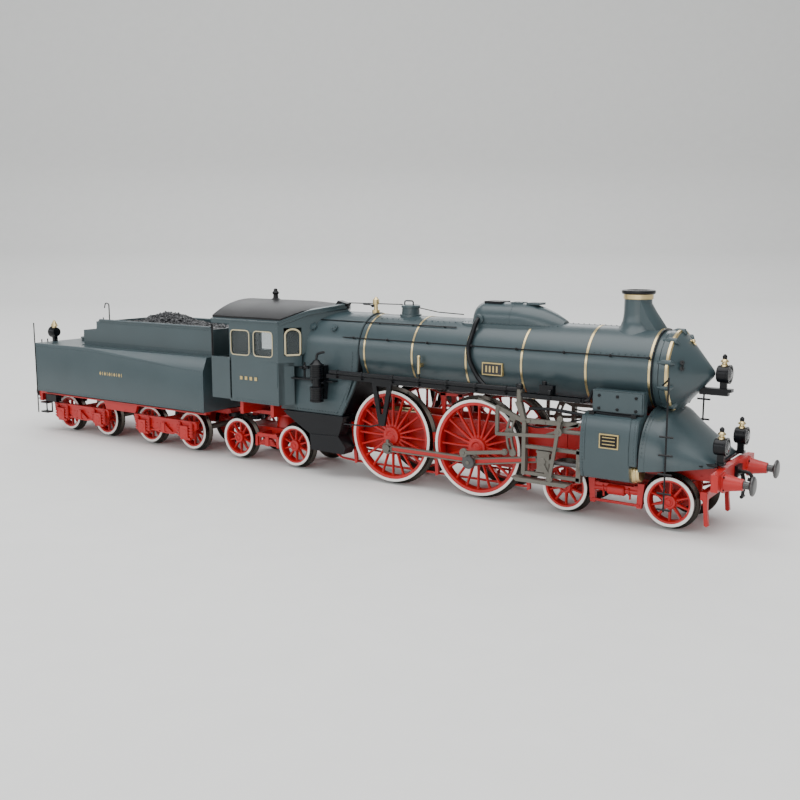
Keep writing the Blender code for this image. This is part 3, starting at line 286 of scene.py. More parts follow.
# %% The finishes of this train
PAINT = finish("body_lacquer", (0.033, 0.055, 0.062), 0.33, cloud=0.08, coat=0.2, dust=0.03)
ROOF = finish("roof_lacquer", (0.009, 0.009, 0.010), 0.42, cloud=0.1, grain=0.06, dust=0.03)
BLACK = finish("black_fittings", (0.003, 0.0035, 0.005), 0.3, cloud=0.2, grain=0.05, dust=0.0)
RED = finish("red_lacquer", (0.43, 0.008, 0.007), 0.40, cloud=0.1, grain=0.05, coat=0.08)
WHITE = finish("white_tyre_ring", (0.80, 0.79, 0.76), 0.45, cloud=0.05, grain=0.05)
TREAD = finish("blackened_tread", (0.055, 0.048, 0.042), 0.24, metallic=0.9, cloud=0.25)
MOTION = finish("grey_motion", (0.125, 0.118, 0.100), 0.40, metallic=0.35, cloud=0.16,
                grain=0.08, dust=0.12)
DARK_STEEL = finish("blackened_steel", (0.085, 0.084, 0.084), 0.34, metallic=0.7, cloud=0.2)
BRASS = finish("brass_lining", (0.70, 0.55, 0.28), 0.3, metallic=1.0, cloud=0.12, grain=0.03)
GOLD = finish("gold_print", (0.52, 0.40, 0.17), 0.45, metallic=0.6, cloud=0.1, grain=0.03)
CREAM = finish("window_frame", (0.55, 0.48, 0.30), 0.4, cloud=0.06, grain=0.03)
PLATE = finish("plate_black", (0.015, 0.015, 0.017), 0.3, cloud=0.1, grain=0.02)
COAL = finish("coal", (0.020, 0.021, 0.024), 0.33, cloud=0.45, grain=0.35, grain_scale=2600.0)
BOARD = finish("solder_mask", (0.02, 0.15, 0.05), 0.35, cloud=0.15)


def clear(name, tint, rough):
    """Clear plastic for lamp lenses and cab glazing."""
    mat = bpy.data.materials.new(name)
    mat.use_nodes = True
    shader = mat.node_tree.nodes["Principled BSDF"]
    shader.inputs["Base Color"].default_value = (*tint, 1.0)
    shader.inputs["Roughness"].default_value = rough
    shader.inputs["Transmission Weight"].default_value = 0.92
    shader.inputs["IOR"].default_value = 1.47
    tree = mat.node_tree
    where = node(tree, "ShaderNodeTexCoord", -800)
    ripple = node(tree, "ShaderNodeTexNoise", -600, 0, Scale=700.0, Detail=2.0)
    bump = node(tree, "ShaderNodeBump", -300)
    bump.inputs["Strength"].default_value = 0.03
    bump.inputs["Distance"].default_value = 0.0002
    tree.links.new(where.outputs["Object"], ripple.inputs["Vector"])
    tree.links.new(ripple.outputs["Fac"], bump.inputs["Height"])
    tree.links.new(bump.outputs["Normal"], shader.inputs["Normal"])
    return mat


for mat in (BLACK, ROOF):
    mat.node_tree.nodes["Principled BSDF"].inputs["Specular IOR Level"].default_value = 0.28

LENS = clear("lamp_lens", (0.95, 0.96, 0.97), 0.04)
GLAZING = clear("cab_glazing", (0.45, 0.49, 0.50), 0.02)
GLAZING.node_tree.nodes["Principled BSDF"].inputs["IOR"].default_value = 1.12

# %% [markdown]
# ## Geometry Nodes for what repeats
# Rivets, spokes, coal and band clips come in dozens. A small tree takes the points that a
# row needs and sets the same form on each, so one number changes them all.


# %% Studs on points
def tree_with(name, sockets):
    tree = bpy.data.node_groups.new(name, "GeometryNodeTree")
    for label, kind, value in sockets:
        s = tree.interface.new_socket(name=label, in_out="INPUT", socket_type=kind)
        if value is not None:
            s.default_value = value
    tree.interface.new_socket(name="Geometry", in_out="OUTPUT", socket_type="NodeSocketGeometry")
    return tree, tree.nodes.new("NodeGroupInput"), tree.nodes.new("NodeGroupOutput")


def chain(tree, source, given, out, mat_socket):
    """End a tree: realise the instances and set the material."""
    real = tree.nodes.new("GeometryNodeRealizeInstances")
    paint = tree.nodes.new("GeometryNodeSetMaterial")
    tree.links.new(source, real.inputs["Geometry"])
    tree.links.new(real.outputs["Geometry"], paint.inputs["Geometry"])
    tree.links.new(given.outputs[mat_socket], paint.inputs["Material"])
    tree.links.new(paint.outputs["Geometry"], out.inputs["Geometry"])


def socket_id(tree, label):
    return next(s.identifier for s in tree.interface.items_tree
                if s.name == label and s.in_out == "INPUT")


def grow(tree, mesh, values):
    """Run a tree on a mesh and return the plain mesh that comes out."""
    seed = bpy.data.objects.new("seed", mesh)
    bpy.context.scene.collection.objects.link(seed)
    step = seed.modifiers.new("grow", "NODES")
    step.node_group = tree
    for label, value in values.items():
        step[socket_id(tree, label)] = value
    graph = bpy.context.evaluated_depsgraph_get()
    result = bpy.data.meshes.new_from_object(seed.evaluated_get(graph))
    seed.modifiers.remove(step)
    bpy.data.objects.remove(seed)
    return result


STUDS, given, out = tree_with("studs_on_points", [
    ("Geometry", "NodeSocketGeometry", None), ("Radius", "NodeSocketFloat", 0.0002),
    ("Sides", "NodeSocketInt", 8), ("Material", "NodeSocketMaterial", None)])
dome = STUDS.nodes.new("GeometryNodeMeshUVSphere")
dome.inputs["Rings"].default_value = 4
spread = STUDS.nodes.new("GeometryNodeInstanceOnPoints")
STUDS.links.new(given.outputs["Sides"], dome.inputs["Segments"])
STUDS.links.new(given.outputs["Radius"], dome.inputs["Radius"])
STUDS.links.new(given.outputs["Geometry"], spread.inputs["Points"])
STUDS.links.new(dome.outputs["Mesh"], spread.inputs["Instance"])
chain(STUDS, spread.outputs["Instances"], given, out, "Material")


def studs(name, points, radius, mat, body):
    """Rivet heads at a list of points."""
    mesh = bpy.data.meshes.new(name)
    mesh.from_pydata([place(p) for p in points], [], [])
    grown = grow(STUDS, mesh, {"Radius": radius * MM, "Sides": 8, "Material": mat})
    grown.name = name
    return adopt(name, grown, mat, body, smooth=60)


def row(a, b, pitch):
    """Evenly spaced points from a to b."""
    a, b = Vector(a), Vector(b)
    n = max(1, round((b - a).length / pitch))
    return [tuple(a.lerp(b, k / n)) for k in range(n + 1)]


def span(side, near, far):
    """Two distances from the middle as a rising pair of y, on the left (1) or right (-1)."""
    return sorted((side * near, side * far))


def both(points):
    """The same points on both sides."""
    return list(points) + [(x, -y, z) for x, y, z in points]

# %% [markdown]
# ## Where the model stands
# A pale sheet, a big soft light above, a broad weak fill and a long strip on the near side
# that draw the highlight along the boiler, and a strip behind for its far shoulder.

# %% Camera, floor and lights
camera = bpy.data.objects.new("camera", bpy.data.cameras.new("camera"))
camera.location = Vector((179.58, -227.76, 66.53)) * MM
camera.rotation_euler = (math.radians(80.80), 0.0, math.radians(34.33))
camera.data.lens = 44.61
camera.data.sensor_width = 36.0
camera.data.clip_start = 0.01
bpy.context.scene.collection.objects.link(camera)
bpy.context.scene.camera = camera

sheet = finish("pale_sheet", (0.80, 0.80, 0.785), 0.7, cloud=0.015, grain=0.02, specular=0.25)
floor = bmesh.new()
SWEEP = [(-1.6, 0.0), (0.75, 0.0), (1.0, 0.05), (1.15, 0.2), (1.2, 0.45), (1.2, 1.4)]
WIDE = 2.6
profile = [(-WIDE, a, h) for a, h in SWEEP] + [(WIDE, a, h) for a, h in SWEEP]
verts = [floor.verts.new(p) for p in profile]
for i in range(len(SWEEP) - 1):
    j = len(SWEEP) + i
    floor.faces.new((verts[i], verts[i + 1], verts[j + 1], verts[j]))
ground = bpy.data.meshes.new("ground")
bmesh.ops.recalc_face_normals(floor, faces=floor.faces)
floor.to_mesh(ground)
floor.free()
ground.materials.append(sheet)
ground.shade_smooth()
ground = bpy.data.objects.new("ground", ground)
ground.rotation_euler.z = math.radians(34.33)
bpy.context.scene.collection.objects.link(ground)


def soft_light(name, place_at, target, size, power, tint=(1, 1, 1)):
    lamp = bpy.data.lights.new(name, "AREA")
    lamp.shape = "RECTANGLE"
    lamp.size, lamp.size_y = size
    lamp.energy = power
    lamp.color = tint
    thing = bpy.data.objects.new(name, lamp)
    thing.location = place_at
    aim = Vector(target) - Vector(place_at)
    thing.rotation_euler = aim.to_track_quat("-Z", "Y").to_euler()
    bpy.context.scene.collection.objects.link(thing)
    return thing


soft_light("sky_panel", (0.05, -0.12, 0.85), (0, 0, 0), (1.1, 0.9), 10.0, (1.0, 1.0, 1.0))
soft_light("near_fill", (0.35, -0.95, 0.32), (0, 0, 0.03), (0.9, 0.5), 3.4, (1.0, 0.99, 0.97))
soft_light("window_strip", (-0.66, -0.91, 0.41), (0, 0, 0.03), (1.3, 0.22), 3.6, (0.93, 0.97, 1.0))
soft_light("back_strip", (-0.5, 0.75, 0.55), (0, 0, 0.03), (1.0, 0.3), 3.0, (0.96, 0.98, 1.0))
world = bpy.data.worlds.new("studio")
world.use_nodes = True
world.node_tree.nodes["Background"].inputs["Color"].default_value = (0.80, 0.81, 0.82, 1.0)
world.node_tree.nodes["Background"].inputs["Strength"].default_value = 0.62
bpy.context.scene.world = world

# %% [markdown]
# ## Boiler
# One long barrel with polished bands. Its skin is turned, the bands stand just proud of it,
# and a line of rivets runs along the very top.

# %% Boiler barrel, bands and rivets
BOILER_Z, BOILER_R = 35.2, 9.9
AXIS = (0.0, BOILER_Z)
bm = bmesh.new()
barrel = [(-13.4, 9.0), (-13.4, BOILER_R), (72.6, BOILER_R), (72.6, 9.4), (74.0, 9.4), (74.0, 8.8)]
turned(bm, "x", AXIS, barrel, 96, 0)
for x, wide in ((-8.8, 0.5), (6.9, 0.5), (23.5, 0.5), (39.4, 0.5), (56.5, 0.55), (72.1, 0.5)):
    band = [(x - wide / 2, BOILER_R - 0.1), (x - wide / 2, BOILER_R + 0.08),
            (x + wide / 2, BOILER_R + 0.08), (x + wide / 2, BOILER_R - 0.1)]
    turned(bm, "x", AXIS, band, 96, 1)
turned(bm, "x", AXIS, [(72.5, 9.7), (72.5, 9.96), (72.7, 9.96), (72.7, 9.3)], 96, 2)
piece("boiler_barrel", bm, [PAINT, BRASS, BLACK], "engine", nodes=["boiler"])
top_rivets = row((48.6, 0, 45.12), (60.0, 0, 45.12), 1.45)
top_rivets += both(row((-12.2, 4.2, 44.2), (17.0, 4.2, 44.2), 1.8))
top_rivets += both(row((58.2, 9.0, 39.4), (70.6, 9.0, 39.4), 1.55))
studs("boiler_rivets", top_rivets, 0.17, PAINT, "engine")

# %% [markdown]
# ## Smokebox door
# The streamlined nose is a turned cone. A brass ring marks the joint, and painted clamps
# hold the door round its rim.

# %% Door drum, ring, clamps and cone
bm = bmesh.new()
turned(bm, "x", AXIS, [(74.2, 8.9), (74.2, 9.6), (76.0, 9.6), (76.3, 9.3), (76.3, 8.6)], 96, 0)
turned(bm, "x", AXIS, [(75.7, 9.5), (75.7, 9.76), (76.25, 9.76), (76.45, 9.45), (76.45, 9.0)], 96, 1)
cone = [(76.2, 9.1), (76.45, 9.2), (76.7, 9.0), (78.8, 6.7), (81.0, 4.25), (83.0, 2.0),
        (84.0, 0.85), (84.25, 0.3)]
turned(bm, "x", AXIS, cone, 96, 0)
for k in range(10):
    a = TURN * (k + 0.5) / 10
    y, z = 9.35 * math.cos(a), BOILER_Z + 9.35 * math.sin(a)
    y2, z2 = 8.6 * math.cos(a), BOILER_Z + 8.6 * math.sin(a)
    tube(bm, [(73.6, y, z), (75.0, y, z), (76.7, y, z), (77.2, y2, z2)], [0.2, 0.72, 0.72, 0.4], 10, 0)
ball(bm, (78.9, 0.0, 42.4), 0.5, 10, 1)
tube(bm, [(78.2, 0, 42.6), (79.6, 0, 41.6)], 0.25, 8, 1)
for z in (36.6, 38.0):
    tube(bm, [(78.6, -6.2, z), (78.9, -7.5, z + 0.2)], 0.5, 10, 2)
tube(bm, [(79.0, -7.3, 36.4), (79.0, -7.3, 38.4)], 0.22, 8, 2)
piece("smokebox_nose", bm, [PAINT, BRASS, BLACK], "engine", nodes=["smokebox_door"])

# %% [markdown]
# ## Chimney
# A flared foot, a black lip with a brass band under it, and a wedge of sheet in front.


# %% Chimney with its fairing
CHIMNEY_X = 65.2
bm = bmesh.new()
body = [(43.4, 5.4), (44.6, 4.6), (45.4, 3.95), (46.6, 3.5), (48.4, 3.3), (51.9, 3.25)]
turned(bm, "z", (CHIMNEY_X, 0), body, 64, 0)
turned(bm, "z", (CHIMNEY_X, 0), [(51.7, 3.3), (51.8, 3.5), (52.9, 3.5), (53.0, 3.3)], 64, 1)
lip = [(52.85, 3.3), (52.9, 3.7), (53.05, 3.9), (53.5, 4.0), (53.8, 3.9), (53.9, 3.6), (53.9, 2.8),
       (51.0, 2.6), (51.0, 0.3)]
turned(bm, "z", (CHIMNEY_X, 0), lip, 64, 2)
wedge = [(65.6, 51.9), (67.6, 51.9), (69.4, 49.2), (72.4, 45.0), (72.4, 44.4), (65.6, 44.4)]
loops = []
for k in range(13):
    y = -2.9 + 5.8 * k / 12
    shrink = 2.6 * (1 - math.sqrt(1 - (y / 3.05) ** 2))
    loops.append([(x - shrink * (0.4 if i else 0), y, z - shrink * (0.25 if i < 2 else 0.8))
                  for i, (x, z) in enumerate(wedge)])
loft(bm, loops, 0)
piece("chimney_stack", bm, [PAINT, BRASS, BLACK], "engine", nodes=["chimney"])

# %% [markdown]
# ## Dome casing
# A long arched cover on the boiler: round and upright at the back, drawn down to a point in
# front, with a rim where it meets the barrel and small lids along the top.


# %% Dome casing
def arch(half, top, foot, n=20, round_over=4.2):
    """Arched section (y, z) with straight sides."""
    over = [(half * math.cos(math.pi * k / n), top - round_over + round_over
             * math.sin(math.pi * k / n)) for k in range(n + 1)]
    return [(half, foot)] + over + [(-half, foot)]


DOME_REAR, DOME_FRONT, DOME_TOP, DOME_HALF = 18.3, 47.1, 49.8, 4.9


def dome_stations(steps, grow=0.0):
    """Height and width of the casing along its length, both eased at the ends."""
    out = []
    for k in range(steps + 1):
        t = k / steps
        x = DOME_REAR + (DOME_FRONT - DOME_REAR) * t
        back = min(1.0, t / 0.13)
        front = max(0.0, (t - 0.52) / 0.48)
        lift = math.sqrt(max(0.0, 1 - (1 - back) ** 2))
        width = (0.42 + 0.58 * lift) * (1 - 0.44 * front ** 2.1)
        drop = 2.9 * (1 - lift) + 4.0 * front ** 1.9
        out.append((x, DOME_HALF * width + grow, DOME_TOP - drop + grow))
    return out


bm = bmesh.new()
loops = [[(21.3 + (x - DOME_REAR) * 0.885, y, z) for y, z in arch(half, top, 40.5)]
         for x, half, top in dome_stations(40)]
loft(bm, loops, 0)
rim = [[(x, y, z) for y, z in arch(half + 0.7, 44.6, 40.5, 8, 0.4)]
       for x, half, top in dome_stations(30)]
loft(bm, rim, 0)
seam = arch(DOME_HALF + 0.04, DOME_TOP + 0.04, 41.0)
loft(bm, [[(x, y, z) for y, z in seam] for x in (33.0, 33.2)], 0)
lid = [(24.4, -2.2), (29.6, -2.4), (29.6, 2.4), (24.4, 2.2)]
prism(bm, "z", lid, DOME_TOP - 0.35, DOME_TOP + 0.16, 1, 0.08)
for x, size in ((33.4, 1.6), (38.2, 1.8)):
    box(bm, (x - size, x + size), (-size, size), (DOME_TOP - 0.4, DOME_TOP + 0.12), 0, 0.06)
piece("dome_cover", bm, [PAINT, BLACK], "engine", nodes=["dome_casing"])
dome_rivets = []
for x, half, top in dome_stations(26)[1:-1]:
    dome_rivets += [(x, half + 0.42, 44.56), (x, -half - 0.42, 44.56)]
studs("dome_rivets", dome_rivets, 0.14, PAINT, "engine")

# %% [markdown]
# ## Firebox and ashpan
# Behind the barrel the casing widens into the firebox. Its side sheet hangs down over the
# frames, edged with rivets, and black boxes under it collect the ash.


# %% Firebox
def firebox_section(grow, floor):
    """Cross section (y, z) of the casing, grown all round."""
    crown = 10.1 + grow
    right = [(half + grow, max(z, floor)) for half, z in
             ((12.3, 17.2), (12.0, 21.0), (11.6, 24.0), (11.0, 27.0), (10.5, 30.0), (10.15, 33.0))]
    over = [(crown * math.cos(a), BOILER_Z + crown * math.sin(a))
            for a in [math.radians(2 + 176 * k / 32) for k in range(33)]]
    return right + over + [(-y, z) for y, z in right[::-1]]


def slanted(section, x, lean=0.0):
    """Section at x whose lower part falls back, lean measured at the foot."""
    return [(x - lean * max(0.0, min(1.0, (26.0 - z) / 8.8)), y, z) for y, z in section]


SHEET = firebox_section(0.0, 17.2)
WRAP = firebox_section(0.13, 17.1)
bm = bmesh.new()
loft(bm, [slanted(SHEET, -37.0), slanted(SHEET, -10.6, 4.1)], 0)
loft(bm, [slanted(WRAP, -11.4, 4.1), slanted(WRAP, -10.8, 4.1)], 0)
loft(bm, [slanted(SHEET, -10.62, 4.1), slanted(firebox_section(-0.3, 17.5), -10.35, 4.1)], 1)
for side in (1, -1):
    for x, z in ((-27.5, 41.3), (-20.1, 41.3)):
        y = side * 8.6
        aim = Vector((0, y, z - BOILER_Z)).normalized()
        foot = Vector((x, y, z)) - aim * 0.5
        tube(bm, [foot, foot + aim * 0.75], 1.05, 20, 0)
        tube(bm, [foot + aim * 0.7, foot + aim * 1.1], [0.75, 0.55], 20, 0)
piece("firebox_sheet", bm, [PAINT, BLACK, BRASS], "engine",
      nodes=["firebox_casing"])
sheet_rivets = []
for (y0, z0), (y1, z1) in zip(WRAP[:6], WRAP[1:7]):
    for back in (11.15, 12.6):
        foot = slanted([(y0 + 0.03, z0), (y1 + 0.03, z1)], -back, 4.1)
        sheet_rivets += both(row(foot[0], foot[1], 0.95)[:-1])
sheet_rivets += both(row((-33.0, 12.32, 17.9), (-16.6, 12.32, 17.9), 1.0))
studs("firebox_rivets", sheet_rivets, 0.15, PAINT, "engine")

bm = bmesh.new()
UPPER_PAN = [(-35.1, 17.1), (-13.3, 17.1), (-15.1, 11.5), (-25.2, 11.1), (-31.5, 14.6), (-34.0, 16.0)]
LOWER_PAN = [(-25.2, 11.2), (-15.1, 11.6), (-12.4, 8.6), (-13.3, 6.6), (-24.7, 6.8)]
for side in (1, -1):
    prism(bm, "y", UPPER_PAN, *span(side, 9.6, 13.6), 0, 0.2)
    prism(bm, "y", LOWER_PAN, *span(side, 9.6, 13.9), 0, 0.25)
box(bm, (-24.7, -16.0), (-9.7, 9.7), (7.4, 12.5), 0, 0.1)
piece("ashpan_boxes", bm, BLACK, "engine", nodes=["ashpan"])

# %% [markdown]
# ## Cab
# The front is a wedge, so the plan is a pentagon. Walls are thin sheets with real window
# openings: each wall is one flat strip with its holes cut as a frame of four bars.


# %% Cab walls
REAR, SHOULDER, NOSE, HALF = -53.1, -34.2, -21.5, 16.5
FLOOR_Z, EAVES_Z = 18.9, 42.9


def roof_height(y, drop=0.0):
    """Height of the roof's outer face at one distance from the middle."""
    half, rise = HALF + 0.4, 47.8 - EAVES_Z
    radius = (half * half + rise * rise) / (2 * rise)
    return 47.8 - radius + math.sqrt(radius * radius - y * y) - drop


def wall(bm, p, q, z, thick, mat=0, bevel=0.0):
    """A sheet between two plan points, its outer face on the line; z may fall from p to q."""
    p, q = Vector((*p, 0)), Vector((*q, 0))
    inward = Vector((-(q - p).y, (q - p).x, 0)).normalized() * thick
    z = z if len(z) == 4 else (z[0], z[1], z[0], z[1])
    loops = []
    for end, (a, b) in ((p, z[:2]), (q, z[2:])):
        loops.append([(end.x, end.y, a), (end.x + inward.x, end.y + inward.y, a),
                      (end.x + inward.x, end.y + inward.y, b), (end.x, end.y, b)])
    return loft(bm, loops, mat, bevel)


SIDE_WINDOWS = ((-52.3, -45.3), (-43.4, -36.4))
PANES = (32.6, 39.6)
bm = bmesh.new()
for side in (1, -1):
    y = side * HALF
    t = -0.8 if side == 1 else 0.8
    wall(bm, (REAR, y), (SHOULDER, y), (FLOOR_Z, PANES[0]), t, 0)
    wall(bm, (REAR, y), (SHOULDER, y), (PANES[1], EAVES_Z - 0.6), t, 0)
    for x in ((REAR, -52.3), (-45.3, -43.4), (-36.4, SHOULDER)):
        wall(bm, (x[0], y), (x[1], y), PANES, t, 0)
    nose, shoulder = Vector((NOSE, 0)), Vector((SHOULDER, y))
    along = (nose - shoulder)
    reach = along.length
    cut_a, cut_b = shoulder + along * (1.7 / reach), shoulder + along * (6.9 / reach)
    top_a = roof_height(HALF) - 0.9
    wall(bm, tuple(shoulder), tuple(cut_a), (FLOOR_Z, top_a, FLOOR_Z, roof_height(15) - 1.1), t, 0)
    wall(bm, tuple(cut_a), tuple(cut_b), (30.0, 33.0), t, 0)
    wall(bm, tuple(shoulder), tuple(shoulder + along * 0.22), (FLOOR_Z, 31.0), t, 0)
    wall(bm, tuple(cut_a), tuple(cut_b), (41.0, roof_height(15) - 1.2, 41.0, roof_height(11) - 1.4),
         t, 0)
    wall(bm, tuple(cut_b), tuple(nose), (33.0, roof_height(11) - 1.4, 44.0, roof_height(0) - 1.9),
         t, 0)
    box(bm, (-38.0, -34.6), sorted((y, y + side * 0.12)), (24.0, 31.0), 0, 0.04)
    box(bm, (REAR, SHOULDER + 0.2), sorted((y - side * 0.1, y + side * 0.12)), (18.7, 19.5), 0, 0.04)
    box(bm, (REAR, SHOULDER + 0.2), sorted((y - side * 0.1, y + side * 0.16)), (41.9, 42.5), 0, 0.04)
    box(bm, (-60.5, REAR + 0.6), sorted((y - side * 0.9, y)), (19.1, 31.5), 0, 0.1)
    box(bm, (-60.3, REAR + 0.2), sorted((y - side * 0.1, y + side * 0.1)), (30.7, 31.5), 0, 0.04)
    tube(bm, bent([(-60.0, y - side * 0.6, 20.0), (-60.6, y - side * 0.6, 24.0),
                   (-60.6, y - side * 0.6, 41.0)]), 0.3, 8, 1)
box(bm, (REAR, -37.3), (-HALF + 0.5, HALF - 0.5), (18.9, 19.8), 1)
box(bm, (-60.4, REAR), (-13.6, 13.6), (18.95, 19.7), 1, 0.1)
for y in (-11.0, 11.0):
    box(bm, (-37.4, -37.0), sorted((y, y * 1.45)), (19.8, 30.0), 1)
for a in range(3):
    ring_r = 2.6 - 0.8 * a
    disc(bm, "x", (-3 + 3 * a, 38.5 - 1.5 * a), ring_r * 0.5, -37.8, -37.2, 20, 2, 0.1)
box(bm, (-38.6, -37.1), (-9.5, 9.5), (22.0, 43.0), 1, 0.4)
disc(bm, "x", (0, 28.5), 2.6, -39.1, -38.5, 28, 1, 0.2)
tube(bm, [(-38.8, -3.6, 40.5), (-40.2, -3.6, 40.5), (-40.6, 3.6, 39.5), (-38.8, 3.6, 39.5)],
     0.3, 8, 2)
for y in (-12.3, 12.3):
    box(bm, (-50.5, -47.2), (y - 2.4, y + 2.4), (24.5, 25.4), 1, 0.3)
    box(bm, (-49.2, -48.6), (y - 0.5, y + 0.5), (19.8, 24.5), 1)
piece("cab_walls", bm, [PAINT, BLACK, BRASS], "engine", nodes=["cab_shell"])

# %% Window frames and glass
bm = bmesh.new()
glass = bmesh.new()
for side in (1, -1):
    y = side * (HALF + 0.07)
    inner = side * (HALF - 0.45)
    for x0, x1 in SIDE_WINDOWS:
        corners = [(x0, PANES[0]), (x1, PANES[0]), (x1, PANES[1]), (x0, PANES[1])]
        ring_path = []
        for k, (a, b) in enumerate(corners):
            for step in range(5):
                turn_at = math.radians(180 + 90 * k + 22.5 * step)
                ring_path.append((a + (1.0 if k in (0, 3) else -1.0) + 1.1 * math.cos(turn_at),
                                  y - side * 0.02,
                                  b + (1.0 if k < 2 else -1.0) + 1.1 * math.sin(turn_at)))
        tube(bm, ring_path + ring_path[:1], 0.16, 6, 0)
        box(glass, (x0, x1), sorted((inner, inner + side * 0.15)), PANES)
    box(glass, (-44.5, -44.2), sorted((y - side * 0.6, y + side * 0.3)), (32.9, 39.3))
    nose, shoulder = Vector((NOSE, 0)), Vector((SHOULDER, side * HALF))
    unit = (nose - shoulder).normalized()
    out = Vector((unit.y, -unit.x)) * (-1 if side == 1 else 1)
    out = out if out.x > 0 else -out
    frame_line = []
    for k in range(13):
        a = math.pi * k / 12
        frame_line.append((4.3 + 2.2 * math.cos(a), 38.9 + 1.7 * math.sin(a)))
    frame_line += [(2.1, 33.6), (2.5, 33.2), (6.1, 33.2), (6.5, 33.6), (6.5, 38.9)]
    path = [(*(shoulder + unit * s + out * 0.05), z) for s, z in frame_line]
    tube(bm, path, 0.27, 8, 0)
    pane = [[(*(shoulder + unit * s + out * d), z) for s, z in frame_line[:-1]]
            for d in (-0.35, -0.2)]
    loft(glass, pane, 0)
piece("cab_window_frames", bm, CREAM, "engine")
piece("cab_glass", glass, GLAZING, "engine")

# %% Cab roof
bm = bmesh.new()
loops = []
ROOF_LINES = ((-60.4, 0.0, 0.0), (-60.1, 0.0, 0.0), (-36.2, 0.0, 0.0), (-33.8, 0.1, 0.0),
              (-30.0, 0.3, 5.0), (-26.0, 0.6, 10.2), (-22.4, 0.85, 14.9), (-21.5, 0.9, 16.0))
for x, drop, trim in ROOF_LINES:
    half = HALF - 0.75 - trim
    top = [(x, half * math.cos(a), roof_height(half * math.cos(a), drop))
           for a in [math.pi * k / 24 for k in range(25)]]
    loops.append(top + [(x, y, z - 0.8) for _, y, z in top[::-1]])
loft(bm, loops, 0)
for side in (1, -1):
    edge = [(-60.2, HALF), (SHOULDER, HALF), (-28.2, 9.6), (-21.9, 1.1)]
    for lap in ((0.35, 0.85), (0.05, 1.7)):
        rim = []
        for x, y in edge:
            z = roof_height(y)
            rim.append([(x, side * (y + lap[0]), z - lap[1]), (x, side * (y + lap[0]), z - 0.45),
                        (x, side * (y - 1.2), z + 0.02), (x, side * (y - 1.2), z - lap[1])])
        loft(bm, rim, 2)
turned(bm, "z", (-49.2, 0), [(47.4, 1.6), (47.8, 1.5), (48.3, 0.8), (49.3, 0.7), (49.6, 1.0),
                             (49.9, 1.05), (50.4, 0.6), (50.9, 0.55), (51.1, 0.3)], 28, 0)
prism(bm, "y", [(-25.6, 47.0), (-22.0, 46.6), (-21.3, 47.6), (-24.6, 48.3)], -1.1, 1.1, 1, 0.1)
piece("cab_roof_sheet", bm, [ROOF, BLACK, PAINT], "engine", nodes=["cab_roof"])
cab_rivets = both(row((-52.6, 16.65, 19.1), (-35.0, 16.65, 19.1), 1.2))
cab_rivets += both(row((-52.6, 16.68, 42.2), (-35.0, 16.68, 42.2), 1.2))
cab_rivets += both(row((-52.75, 16.52, 20.0), (-52.75, 16.52, 32.0), 1.2))
cab_rivets += both(row((-34.6, 16.52, 20.0), (-34.6, 16.52, 41.0), 1.2))
studs("cab_rivets", cab_rivets, 0.14, PAINT, "engine")

# %% [markdown]
# ## Cylinders
# Each cylinder hides under a rounded casing whose lower front corner is cut away, so the
# brass cylinder end shows. Rivets edge the casing, and a valve chest rises inside it.


# %% Cylinder casings
def casing_outline(shrink):
    """Rounded cross section (y, z) of the casing on the left."""
    points = [(5.8, 12.4), (12.2, 9.8)]
    points += [(14.4 + 2.1 * math.cos(a), 18.0 + 8.2 * math.sin(a))
               for a in [math.radians(-62 + 124 * k / 22) for k in range(23)]]
    points += [(12.4, 26.0), (5.8, 25.0)]
    middle = Vector((11, 18))
    return [tuple(middle + (Vector(p) - middle) * (1 - shrink / 8)) for p in points]


